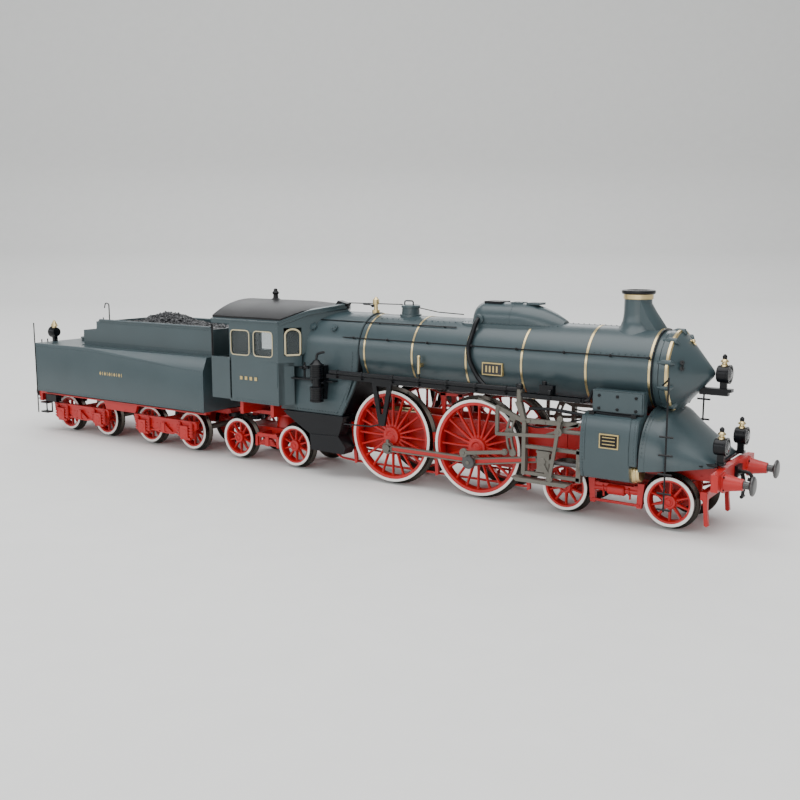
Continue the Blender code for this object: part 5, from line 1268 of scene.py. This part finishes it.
for side, name in ((1, "left"), (-1, "right")):
    front, rear = crank_pin(27.0, side), crank_pin(0.0, side)
    bm = bmesh.new()
    fluted(bm, front, rear, (0.78, 0.78), (1.6, 1.6), (10.65, 11.75))
    piece("side_rod_fluted_" + name, bm, [RED, MOTION], "side_rod_" + name,
          side=side, nodes=["side_rod_" + name])
    small = (crosshead_x(side) - 1.6, 12.7)
    bm = bmesh.new()
    fluted(bm, front, small, (0.85, 0.7), (1.6, 1.3), (12.2, 13.3))
    disc(bm, "y", small, 0.6, 12.1, 13.45, 16, 1, 0.06)
    piece("main_rod_fluted_" + name, bm, [RED, MOTION], "main_rod_" + name,
          side=side, nodes=["main_rod_" + name])
    pin = RETURN_PIN[side]
    far = (pin[0] + 11.7, pin[1] + 1.6)
    bm = bmesh.new()
    bar(bm, pin, far, 0.45, (14.7, 15.25), 0, 0.06)
    for c, r in ((pin, 1.15), (far, 0.8)):
        turned(bm, "y", c, [(14.65, r), (15.2, r), (15.3, r - 0.1), (15.3, 0.55), (14.65, 0.55)],
               24, 0, closed=True)
    disc(bm, "y", far, 0.5, 14.5, 15.4, 12, 0, 0.05)
    piece("eccentric_bar_" + name, bm, MOTION, "eccentric_rod_" + name, side=side,
          nodes=["eccentric_rod_" + name])
    x = crosshead_x(side)
    bm = bmesh.new()
    box(bm, (x - 1.6, x + 1.6), (13.7, 15.0), (10.0, 15.3), 0, 0.15)
    box(bm, (x - 1.9, x + 1.9), (13.8, 14.9), (10.0, 10.6), 0, 0.08)
    box(bm, (x - 1.9, x + 1.9), (13.8, 14.9), (14.7, 15.3), 0, 0.08)
    disc(bm, "y", (x - 0.1, 12.7), 1.0, 14.8, 15.2, 6, 0, 0.08)
    disc(bm, "x", (14.35, 12.7), 0.55, x, x + 14.5, 16, 1, 0.05)
    disc(bm, "x", (14.35, 12.7), 0.8, x + 1.4, x + 2.4, 16, 0, 0.1)
    bar(bm, (x, 12.0), (x + 1.9, 8.9), 0.5, (15.1, 15.32), 0, 0.05)
    piece("crosshead_block_" + name, bm, [MOTION, DARK_STEEL], "crosshead_" + name,
          side=side, nodes=["crosshead_" + name])
    link = (38.6, 18.5)
    bm = bmesh.new()
    arc = [math.radians(180 + a) for a in range(-28, 29, 7)]
    swing = 9.4
    for r0, r1 in ((swing - 0.85, swing - 0.35), (swing + 0.35, swing + 0.85)):
        outer = [(link[0] + swing + r1 * math.cos(a), link[1] - 0.4 + r1 * math.sin(a)) for a in arc]
        inner = [(link[0] + swing + r0 * math.cos(a), link[1] - 0.4 + r0 * math.sin(a)) for a in arc]
        prism(bm, "y", outer + inner[::-1], 13.7, 14.25, 0, 0.04)
    for a in (arc[0], arc[-1]):
        disc(bm, "y", (link[0] + swing + swing * math.cos(a), link[1] - 0.4 + swing * math.sin(a)),
             0.95, 13.65, 14.3, 20, 0, 0.08)
    disc(bm, "y", link, 1.25, 13.65, 14.3, 24, 0, 0.08)
    disc(bm, "y", link, 0.55, 14.25, 14.6, 6, 0, 0.05)
    piece("slotted_link_" + name, bm, MOTION, "expansion_link_" + name, side=side,
          nodes=["expansion_link_" + name])
    pivot, foot_z = (52.6, 20.5), 8.9
    lean = (crosshead_x(side) - 48.4) / (pivot[1] - foot_z)
    top = (pivot[0] + 0.4 - lean * 3.2, pivot[1] + 3.2)
    foot = (pivot[0] - 2.0 + lean * (pivot[1] - foot_z), foot_z)
    bm = bmesh.new()
    bar(bm, top, foot, 0.42, (15.5, 15.95), 0, 0.05)
    for c, r in ((pivot, 1.0), (foot, 0.8), (top, 0.75)):
        disc(bm, "y", c, r, 15.45, 16.0, 20, 0, 0.06)
        disc(bm, "y", c, r * 0.5, 15.9, 16.1, 6, 0, 0.04)
    piece("combination_bar_" + name, bm, MOTION, "combination_lever_" + name,
          side=side, nodes=["combination_lever_" + name])
    bm = bmesh.new()
    for z in (9.35, 15.95):
        box(bm, (42.6, 57.9), (13.8, 14.9), (z - 0.42, z + 0.42), 0, 0.1)
    box(bm, (42.6, 43.6), (13.5, 15.0), (8.9, 22.0), 0, 0.1)
    box(bm, (57.0, 58.2), (13.4, 14.9), (8.6, 16.7), 0, 0.12)
    prism(bm, "y", [(40.4, 26.6), (42.2, 26.6), (43.6, 21.6), (42.6, 21.6)], 13.6, 14.8, 0, 0.1)
    disc(bm, "z", (41.3, 14.0), 0.75, 26.3, 29.9, 16, 0, 0.1)
    bar(bm, (35.2, 24.9), (43.0, 22.0), 0.55, (13.9, 14.7), 0, 0.08)
    bar(bm, (43.0, 22.2), (57.2, 22.5), 0.55, (13.9, 14.7), 0, 0.08)
    bar(bm, (35.4, 25.2), (35.4, 18.0), 0.45, (14.0, 14.6), 0, 0.08)
    bar(bm, (35.4, 18.2), (52.2, 19.3), 0.4, (14.7, 15.2), 0, 0.06)
    bar(bm, (49.0, 19.3), (60.0, 23.7), 0.32, (14.2, 14.7), 0, 0.05)
    bar(bm, (52.6, 23.2), (52.6, 20.5), 0.6, (14.0, 15.1), 0, 0.08)
    disc(bm, "y", (52.6, 20.5), 0.42, 14.9, 16.15, 14, 0, 0.05)
    disc(bm, "y", (38.6, 18.5), 0.5, 13.55, 14.9, 14, 0, 0.05)
    disc(bm, "x", (14.35, 20.6), 0.55, 52.8, 59.4, 16, 0, 0.06)
    step = [(40.2, 8.15), (55.8, 8.15), (54.6, 7.2), (41.6, 7.2)]
    prism(bm, "y", step, 13.4, 15.9, 0, 0.1)
    tube(bm, bent([(43.1, 14.0, 21.0), (46.6, 13.8, 20.6), (58.4, 13.8, 24.0)]), 0.2, 8, 1)
    tube(bm, bent([(44.0, 14.0, 25.2), (50.0, 14.0, 25.6), (58.4, 14.0, 25.0)]), 0.42, 10, 1)
    tube(bm, [(29.5, 13.5, 26.4), (35.4, 14.2, 24.8)], 0.2, 8, 0)
    for x in (36.0, 44.5, 48.5):
        disc(bm, "y", (x, 24.6 if x < 40 else 22.25), 0.34, 14.6, 14.9, 6, 0, 0.04)
    piece("motion_girder_" + name, bm, [MOTION, BLACK], "engine", side=side,
          nodes=["motion_bracket_" + name])

# %% [markdown]
# ## Bogies
# The engine's bogies have inside frames, so their wheels stand clear and only springs,
# cylinders and a low red rail show between them. The tender's bogies have outside frames.

# %% Engine bogies
for name, x, base, ends, top in (("leading_bogie", 64.95, 26.1, (18.5, 21.0), 11.4),
                                 ("trailing_bogie", -45.6, 22.2, (15.5, 15.0), 12.9)):
    lead = name == "leading_bogie"
    bm = bmesh.new()
    for side in (1, -1):
        y = span(side, 3.6, 4.5)
        a, b = x - base / 2 - 3.6, x + base / 2 + 3.4
        side_plate = [(a, 5.2), (a + 1.4, 3.7), (a + 6.0, 3.7), (a + 8.0, 5.6), (b - 8.0, 5.6),
                      (b - 6.0, 3.7), (b - 1.4, 3.7), (b, 5.2), (b, 8.6), (b - 1.0, 9.2),
                      (a + 1.0, 9.2), (a, 8.6)]
        prism(bm, "y", side_plate, *y, 0, 0.12)
        for axle in (x - base / 2, x + base / 2):
            disc(bm, "y", (axle, CARRIER_R), 1.9, *span(side, 4.4, 6.2), 24, 0, 0.12)
        rail_y = span(side, 8.1, 9.2)
        a, b = x - base / 2 + 7.2, x + base / 2 - 7.2
        box(bm, (a, b), rail_y, (7.1, 8.2), 0, 0.12)
        if not lead:
            for k in range(4):
                box(bm, (x - 3.4 + 0.5 * k, x + 3.4 - 0.5 * k), rail_y,
                    (4.6 + 0.5 * k, 4.98 + 0.5 * k), 0, 0.04)
            box(bm, (x - 0.7, x + 0.7), span(side, 8.0, 9.4), (4.4, 7.4), 0, 0.08)
        for s in (-1, 1):
            tube(bm, [(x + s * 3.3, side * 8.7, 4.9), (x + s * 3.3, side * 8.7, 7.4)], 0.25, 8, 0)
            box(bm, (x + s * (base / 2 - 8.3) - 0.5, x + s * (base / 2 - 8.3) + 0.5),
                span(side, 4.0, 9.0), (6.8, 8.4), 0, 0.08)
            shoe_x = x + s * (base / 2 - 6.9)
            prism(bm, "y", [(shoe_x - 0.5, 4.2), (shoe_x + 0.5, 4.2), (shoe_x + 0.4, 7.6),
                            (shoe_x - 0.4, 7.6)], *span(side, 7.5, 9.3), 0, 0.08)
        if lead:
            disc(bm, "x", (side * 8.7, 6.9), 1.35, x - 2.2, x + 2.2, 24, 0, 0.25)
            for a, b, r in ((-5.6, -2.2, 0.75), (2.2, 5.6, 0.75), (-3.4, -3.0, 1.1), (3.0, 3.4, 1.1)):
                disc(bm, "x", (side * 8.7, 6.9), r, x + a, x + b, 16, 0, 0.1)
            for s in (-1, 1):
                prism(bm, "y", [(x + s * 6.2 - 0.8, 9.2), (x + s * 6.2 + 0.8, 9.2),
                                (x + s * 5.8 + 0.6, 3.2), (x + s * 5.8 - 0.6, 3.2)],
                      *span(side, 8.2, 9.4), 0, 0.15)
            tube(bm, [(x - 6.0, side * 9.3, 3.9), (x + 6.0, side * 9.3, 3.9)], 0.36, 8, 0)
    box(bm, (x - base / 2 + 3.0, x + base / 2 - 3.0), (-3.7, 3.7), (6.2, 9.2), 0, 0.1)
    for axle in (x - base / 2, x + base / 2):
        box(bm, (axle - 2.6, axle + 2.6), (-3.7, 3.7), (7.2, 9.2), 0, 0.1)
    turned(bm, "z", (x, 0), [(9.0, 3.2), (9.6, 3.0), (top - 0.3, 2.6), (top, 2.3), (top, 1.4),
                             (9.0, 1.4)], 32, 0, closed=True)
    if lead:
        box(bm, (84.9, 86.3), (-8.8, 8.8), (7.3, 9.2), 0, 0.15)
        for side in (1, -1):
            iron = [(85.3, 9.0), (86.5, 9.0), (86.6, 5.0), (87.0, 1.4), (86.5, 1.1), (86.0, 1.4),
                    (85.7, 5.0)]
            prism(bm, "y", iron, *span(side, 7.7, 8.7), 0, 0.1)
    piece(name + "_frame", bm, RED, name, nodes=[name])

# %% Tender bogies
for name, x in (("tender_bogie_front", -86.45), ("tender_bogie_rear", -127.75)):
    half = 9.7
    bm = bmesh.new()
    box(bm, (x - 2.1, x + 2.1), (-11.4, 11.4), (5.6, 9.2), 0, 0.2)
    turned(bm, "z", (x, 0), [(8.6, 2.7), (9.8, 2.6), (10.3, 2.3), (10.3, 1.4), (8.6, 1.4)], 32, 0,
           closed=True)
    for side in (1, -1):
        y = span(side, 11.3, 12.3)
        top = [(x - half - 4.6, 9.4), (x - half - 4.6, 7.2), (x - half - 3.4, 6.4),
               (x - half - 2.9, 3.8), (x - half + 2.9, 3.8), (x - half + 3.4, 6.0), (x - 3.4, 4.4),
               (x + 3.4, 4.4), (x + half - 3.4, 6.0), (x + half - 2.9, 3.8), (x + half + 2.9, 3.8),
               (x + half + 3.4, 6.4), (x + half + 4.6, 7.2), (x + half + 4.6, 9.4)]
        prism(bm, "y", top, *y, 0, 0.12)
        y2 = span(side, 12.2, 12.6)
        bar(bm, (x - half - 4.4, 9.1), (x + half + 4.4, 9.1), 0.3, y2, 0, 0.06)
        bar(bm, (x - half + 2.6, 5.0), (x - 2.4, 5.0), 0.22, y2, 0, 0.05)
        bar(bm, (x + 2.4, 5.0), (x + half - 2.6, 5.0), 0.22, y2, 0, 0.05)
        for k in range(5):
            reach = 3.6 - 0.6 * k
            box(bm, (x - reach, x + reach), span(side, 12.2, 13.0),
                (5.3 + 0.42 * k, 5.66 + 0.42 * k), 0, 0.04)
        box(bm, (x - 0.7, x + 0.7), span(side, 12.2, 13.2), (5.0, 8.0), 0, 0.08)
        for s in (-1, 1):
            axle = x + s * half
            box(bm, (axle - 1.7, axle + 1.7), span(side, 12.1, 13.5), (4.2, 7.9), 0, 0.35)
            disc(bm, "y", (axle, CARRIER_R), 1.15, *span(side, 13.2, 13.6), 24, 0, 0.12)
            box(bm, (axle - 2.1, axle + 2.1), span(side, 12.1, 12.9), (3.4, 4.1), 0, 0.08)
            for t in (-2.6, 2.6):
                tube(bm, [(axle + t, side * 12.6, 4.4), (axle + t, side * 12.6, 9.0)], 0.6, 10, 0)
                for k in range(4):
                    disc(bm, "z", (axle + t, side * 12.7), 0.85, 4.9 + 0.9 * k, 5.35 + 0.9 * k, 12, 0)
    piece(name + "_frame", bm, RED, name, nodes=[name])
for name, x in (("tender_bogie_front", -86.45), ("tender_bogie_rear", -127.75)):
    heads = both([(x + s * d, 12.36, 7.4) for s in (-1, 1) for d in (2.0, 3.6, 5.4, 13.2)])
    studs(name + "_rivets", heads, 0.17, RED, name)

# %% [markdown]
# ## Tender
# A riveted tank with a narrower coal bunker. Coal is some two thousand broken lumps thrown
# over a bed with a fixed seed, and rows of rivets follow the sheet edges.

# %% Tender tank
TANK_REAR, TANK_FRONT, TANK_HALF, TANK_LOW, TANK_TOP = -145.3, -64.4, 16.5, 13.7, 30.4


def tank_loop(x, crease, lean):
    right = [(TANK_HALF, TANK_LOW), (TANK_HALF, crease), (TANK_HALF - lean, TANK_TOP)]
    return [(x, y, z) for y, z in right + [(-y, z) for y, z in right[::-1]]]


bm = bmesh.new()
loft(bm, [tank_loop(TANK_REAR, 30.15, 0.1), tank_loop(-116.8, 30.15, 0.1),
          tank_loop(TANK_FRONT, 26.2, 1.8)], 0, 0.18)
half, wall_t = 11.0, 0.7
for side in (1, -1):
    y = sorted((side * (half - wall_t), side * half))
    top = [(-65.2, 30.3), (-65.2, 38.2), (-66.0, 39.2), (-117.5, 39.3), (-118.6, 38.6),
           (-119.6, 35.8), (-126.0, 35.4), (-126.0, 30.3)]
    prism(bm, "y", top, *y, 0, 0.08)
    tube(bm, [(-66.0, side * half, 39.2), (-117.5, side * half, 39.25)], 0.32, 8, 0)
    box(bm, (-126.0, -65.2), sorted((side * half, side * (half + 0.9))), (30.3, 30.7), 0, 0.05)
    box(bm, (-145.1, -64.6), span(side, 16.45, 16.56), (13.8, 14.5), 0, 0.04)
for x, z in ((-65.6, 38.6), (-119.3, 38.6), (-125.9, 35.5)):
    box(bm, (x - 0.35, x + 0.35), (-half + 0.3, half - 0.3), (30.3, z), 0, 0.06)
box(bm, (-125.9, -119.3), (-half + 0.3, half - 0.3), (34.7, 35.3), 0, 0.06)
turned(bm, "z", (-136.5, 0), [(30.2, 3.1), (31.2, 3.1), (31.3, 3.35), (31.75, 3.35), (31.9, 2.9),
                              (32.0, 0.5)], 36, 0)
tube(bm, bent([(-139.8, 0, 31.2), (-139.8, 0, 32.7), (-133.2, 0, 32.7), (-133.2, 0, 31.2)], 5,
              0.8), 0.28, 8, 1)
for y in (6.5, -6.5):
    turned(bm, "z", (-129.5, y), [(30.2, 1.2), (31.6, 1.2), (31.9, 0.8), (32.0, 0.3)], 24, 0)
for y in (-15.0, 15.0):
    tube(bm, [(-147.7, y, 5.6), (-147.7, y, 37.1)], 0.2, 8, 1)
    for z in (15.2, 29.4):
        tube(bm, [(-145.2, y, z), (-147.7, y, z)], 0.18, 6, 1)
    tube(bm, [(-147.0, y * 0.95, 10.6), (-147.7, y, 10.6)], 0.18, 6, 1)
tube(bm, bent([(-118.6, -6.0, 38.6), (-118.6, -6.0, 44.3), (-120.4, -6.0, 44.5),
               (-120.9, -6.0, 42.8)], 5, 0.7), 0.2, 8, 1)
for y in (-13.4, -11.0):
    tube(bm, [(-145.9, y, 14.6), (-145.9, y, 31.4)], 0.2, 8, 1)
for z in (16.5, 19.5, 22.5, 25.5, 28.5):
    tube(bm, [(-145.9, -13.4, z), (-145.9, -11.0, z)], 0.2, 8, 1)
turned(bm, "x", (-8.5, 33.6), [(-143.7, 0.5), (-143.8, 1.5), (-145.9, 2.0), (-146.3, 2.0),
                               (-146.45, 1.6), (-146.5, 0.3)], 28, 1)
turned(bm, "x", (-8.5, 33.6), [(-146.2, 1.7), (-146.55, 1.3), (-146.7, 0.3)], 28, 2)
turned(bm, "z", (-145.1, -8.5), [(35.0, 0.9), (35.6, 0.8), (35.7, 1.3), (36.1, 1.1), (37.7, 0.3)],
       20, 3)
box(bm, (-145.7, -144.5), (-9.2, -7.8), (30.2, 32.0), 1, 0.1)
piece("tender_tank_sheets", bm, [PAINT, BLACK, LENS, BRASS], "tender",
      nodes=["tender_tank"])
rows = both(row((-144.4, 16.58, 14.15), (-65.4, 16.58, 14.15), 1.25))
rows += both(row((-144.4, 16.52, 29.2), (-117.6, 16.52, 29.2), 1.25))
rows += both([(x, 16.52, 29.2 - 3.1 * (x + 117.0) / 52.6) for x in
              [-116.0 + 1.25 * k for k in range(41)]])
for x, top_z in ((-65.1, 25.0), (-144.6, 29.2)):
    rows += both(row((x, 16.52, 15.2), (x, 16.52, top_z), 1.25))
rows += both(row((-125.2, 11.05, 31.6), (-66.2, 11.05, 31.6), 1.4))
rows += both(row((-117.2, 11.05, 38.3), (-66.2, 11.05, 38.3), 1.4))
rows += row((-145.34, -15.8, 14.6), (-145.34, 15.8, 14.6), 1.25)
rows += row((-145.34, -15.8, 29.6), (-145.34, 15.8, 29.6), 1.25)
studs("tender_rivets", rows, 0.15, PAINT, "tender")

# %% Gold marks on the tender and the cab
tender_marks = bmesh.new()
cab_marks = bmesh.new()
for side in (1, -1):
    y = span(side, 16.48, 16.56)
    for k in range(5):
        x = -111.6 + 2.3 * k
        prism(tender_marks, "y", [(x - 0.5, 22.3), (x, 22.95), (x + 0.5, 22.3), (x, 21.65)], *y, 0)
        box(tender_marks, (x + 1.0, x + 1.25), y, (21.75, 22.85), 0)
    for k in range(4):
        box(cab_marks, (-49.0 + 1.9 * k, -48.0 + 1.9 * k), span(side, 16.6, 16.66), (25.3, 26.3), 0)
piece("tender_gold_panel", tender_marks, GOLD, "tender")
piece("cab_gold_panel", cab_marks, GOLD, "engine")

# %% Tender frame, beam and steps
bm = bmesh.new()
box(bm, (-143.0, -66.4), (-14.6, 14.6), (13.0, 14.4), 0, 0.1)
for side in (1, -1):
    prism(bm, "y", [(-146.6, 11.6), (-66.0, 11.6), (-65.0, 13.2), (-146.6, 13.2)],
          *span(side, 3.6, 4.6), 0, 0.1)
    box(bm, (-146.4, -65.6), span(side, 12.6, 14.6), (12.6, 13.55), 0, 0.1)
    c = (side * 10.06, 12.4)
    turned(bm, "x", c, [(-147.1, 2.2), (-147.7, 2.2), (-147.8, 1.95), (-149.2, 1.75),
                        (-149.8, 1.65)], 28, 0)
    centre_beam = [(-98.6, 12.8), (-100.0, 9.6), (-114.2, 9.6), (-115.6, 12.8)]
    prism(bm, "y", centre_beam, *span(side, 11.6, 12.6), 0, 0.1)
    for z in (6.3, 9.6):
        box(bm, (-145.0, -141.4), span(side, 13.6, 15.9), (z - 0.25, z + 0.25), 1, 0.06)
    for x in (-144.7, -141.7):
        tube(bm, [(x, side * 13.7, 6.2), (x, side * 13.7, 13.2)], 0.24, 8, 1)
    box(bm, (-142.6, -137.4), span(side, 13.0, 15.2), (10.1, 12.5), 1, 0.2)
    tube(bm, bent([(-148.1, side * 5.6, 12.2), (-149.3, side * 5.6, 11.8),
                   (-149.4, side * 5.2, 7.4)], 5, 1.2), 0.42, 10, 1)
beam = [(-14.5, 9.9), (14.5, 9.9), (14.5, 14.9), (-14.5, 14.9)]
prism(bm, "x", beam, -147.2, -145.75, 0, 0.15)
box(bm, (-146.4, -142.0), (-4.5, 4.5), (11.0, 12.4), 0, 0.1)
for x in (-86.45, -127.75):
    disc(bm, "z", (x, 0), 2.6, 10.9, 12.6, 32, 0, 0.1)
    disc(bm, "z", (x, 0), 1.15, 8.3, 12.0, 24, 0)
    box(bm, (x - 2.0, x + 2.0), (-4.0, 4.0), (11.9, 13.2), 0, 0.1)
disc(bm, "z", (-66.6, 0), 1.15, 10.0, 12.2, 24, 0)
disc(bm, "z", (-143.6, 0), 0.9, 7.8, 11.5, 24, 0)
box(bm, (-68.4, -64.9), (-4.5, 4.5), (11.9, 13.3), 0, 0.1)
piece("tender_underframe", bm, [RED, BLACK], "tender", nodes=["tender_frame"])

# %% Coal
COAL_TREE, given, out = tree_with("coal_lumps", [
    ("Geometry", "NodeSocketGeometry", None), ("Smallest", "NodeSocketFloat", 0.0005),
    ("Largest", "NodeSocketFloat", 0.0012), ("Seed", "NodeSocketInt", 7),
    ("Material", "NodeSocketMaterial", None)])
lump = COAL_TREE.nodes.new("GeometryNodeMeshIcoSphere")
lump.inputs["Radius"].default_value = 1.0
lump.inputs["Subdivisions"].default_value = 2
crack = COAL_TREE.nodes.new("ShaderNodeTexVoronoi")
crack.inputs["Scale"].default_value = 1.3
shift = COAL_TREE.nodes.new("GeometryNodeSetPosition")
scatter = COAL_TREE.nodes.new("GeometryNodeInstanceOnPoints")
COAL_TREE.links.new(lump.outputs["Mesh"], shift.inputs["Geometry"])
COAL_TREE.links.new(crack.outputs["Position"], shift.inputs["Position"])
size = COAL_TREE.nodes.new("FunctionNodeRandomValue")
size.data_type = "FLOAT"
tilt = COAL_TREE.nodes.new("FunctionNodeRandomValue")
tilt.data_type = "FLOAT_VECTOR"
tilt.inputs["Max"].default_value = (TURN, TURN, TURN)
COAL_TREE.links.new(given.outputs["Smallest"], size.inputs[2])
COAL_TREE.links.new(given.outputs["Largest"], size.inputs[3])
COAL_TREE.links.new(given.outputs["Seed"], size.inputs["Seed"])
COAL_TREE.links.new(given.outputs["Seed"], tilt.inputs["Seed"])
COAL_TREE.links.new(given.outputs["Geometry"], scatter.inputs["Points"])
COAL_TREE.links.new(shift.outputs["Geometry"], scatter.inputs["Instance"])
COAL_TREE.links.new(size.outputs[1], scatter.inputs["Scale"])
COAL_TREE.links.new(tilt.outputs[0], scatter.inputs["Rotation"])
chain(COAL_TREE, scatter.outputs["Instances"], given, out, "Material")


def heap(x, y):
    """Height of the coal at one place in the bunker."""
    crown = 37.9 + 4.0 * math.exp(-((x + 96.0) / 10.5) ** 2 - (y / 7.5) ** 2)
    return crown + 0.3 * math.sin(0.7 * x) * math.cos(0.9 * y)


random.seed(12)
spots = []
for x in [-117.6 + 0.68 * k for k in range(76)]:
    for y in [-9.8 + 0.7 * k for k in range(29)]:
        jx, jy = random.uniform(-0.3, 0.3), random.uniform(-0.3, 0.3)
        spots.append(place((x + jx, y + jy, heap(x, y) + random.uniform(-0.35, 0.15) - 0.5)))
bed = bpy.data.meshes.new("coal_bed")
bed.from_pydata(spots, [], [])
lumps = grow(COAL_TREE, bed, {"Smallest": 0.36 * MM, "Largest": 0.72 * MM, "Seed": 7,
                              "Material": COAL})
bm = bmesh.new()
bm.from_mesh(lumps)
for v in bm.verts:
    v.co = Vector(((v.co.x / MM) - AXLE_X, v.co.y / MM, (v.co.z / MM) - RAIL_Z))
loops = []
for k in range(11):
    x = -118.0 + 51.6 * k / 10
    loops.append([(x, y, heap(x, y) - 1.2) for y in [10.0 - 2.0 * j for j in range(11)]]
                 + [(x, -10.0, 31.2), (x, 10.0, 31.2)])
loft(bm, loops, 0)
piece("coal_heap", bm, COAL, "tender", nodes=["coal_load"], smooth=20)

# %% [markdown]
# ## Buffers and couplings

# %% Buffers
for where, face, away, body in (("front", 97.2, 1, "front"), ("rear", -152.5, -1, "rear")):
    for side, name in ((1, "left"), (-1, "right")):
        c = (side * 10.06, 12.4)
        root = 89.9 if away == 1 else -147.5
        head = [(0.0, 0.3), (-0.04, 1.3), (-0.12, 1.9), (-0.3, 2.2), (-0.55, 2.25), (-0.75, 2.1),
                (-0.9, 1.5), (-1.2, 1.05)]
        bm = bmesh.new()
        turned(bm, "x", c, [(face + away * a, r) for a, r in head], 36, 0)
        disc(bm, "x", c, 0.85, *sorted((root, face - away * 0.6)), 24, 0, 0.05)
        name = "%s_buffer_%s" % (where, name)
        piece(name + "_head", bm, DARK_STEEL, name, nodes=[name])

# %% Rear coupler and drawbar
bm = bmesh.new()
turned(bm, "z", (-143.6, 0), [(8.0, 2.2), (9.3, 2.2), (9.4, 2.1), (9.4, 1.05), (8.0, 1.05)], 32, 0,
       closed=True)
box(bm, (-151.0, -144.9), (-1.45, 1.45), (8.1, 9.3), 0, 0.12)
box(bm, (-152.2, -149.6), (-2.2, 2.2), (7.7, 10.1), 0, 0.25)
box(bm, (-152.2, -150.9), (-1.2, 1.2), (9.9, 10.2), 0, 0.08)
piece("coupler_arm", bm, BLACK, "rear_coupler", nodes=["rear_coupler"])
bm = bmesh.new()
for x in (-58.2, -66.6):
    turned(bm, "z", (x, 0), [(10.35, 2.6), (11.5, 2.6), (11.6, 2.5), (11.6, 1.35), (10.35, 1.35)],
           32, 0, closed=True)
box(bm, (-64.2, -60.6), (-1.5, 1.5), (10.4, 11.5), 0, 0.12)
piece("drawbar_link", bm, BLACK, "drawbar", nodes=["drawbar"])

# %% [markdown]
# ## Parts out of sight
# The motor, its worm and the tender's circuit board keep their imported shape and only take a
# finish. They sit inside casings and show only through the frame.

# %% Motor, worm and circuit board
for name, mat in (("motor", DARK_STEEL), ("worm_shaft", BRASS), ("circuit_board", BOARD)):
    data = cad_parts[name].data
    data.materials.clear()
    data.materials.append(mat)

print("%d pieces, %d faces" % (len(made), sum(made.values())))
for name, faces in sorted(made.items(), key=lambda item: -item[1])[:6]:
    print("  %-28s %d faces" % (name, faces))
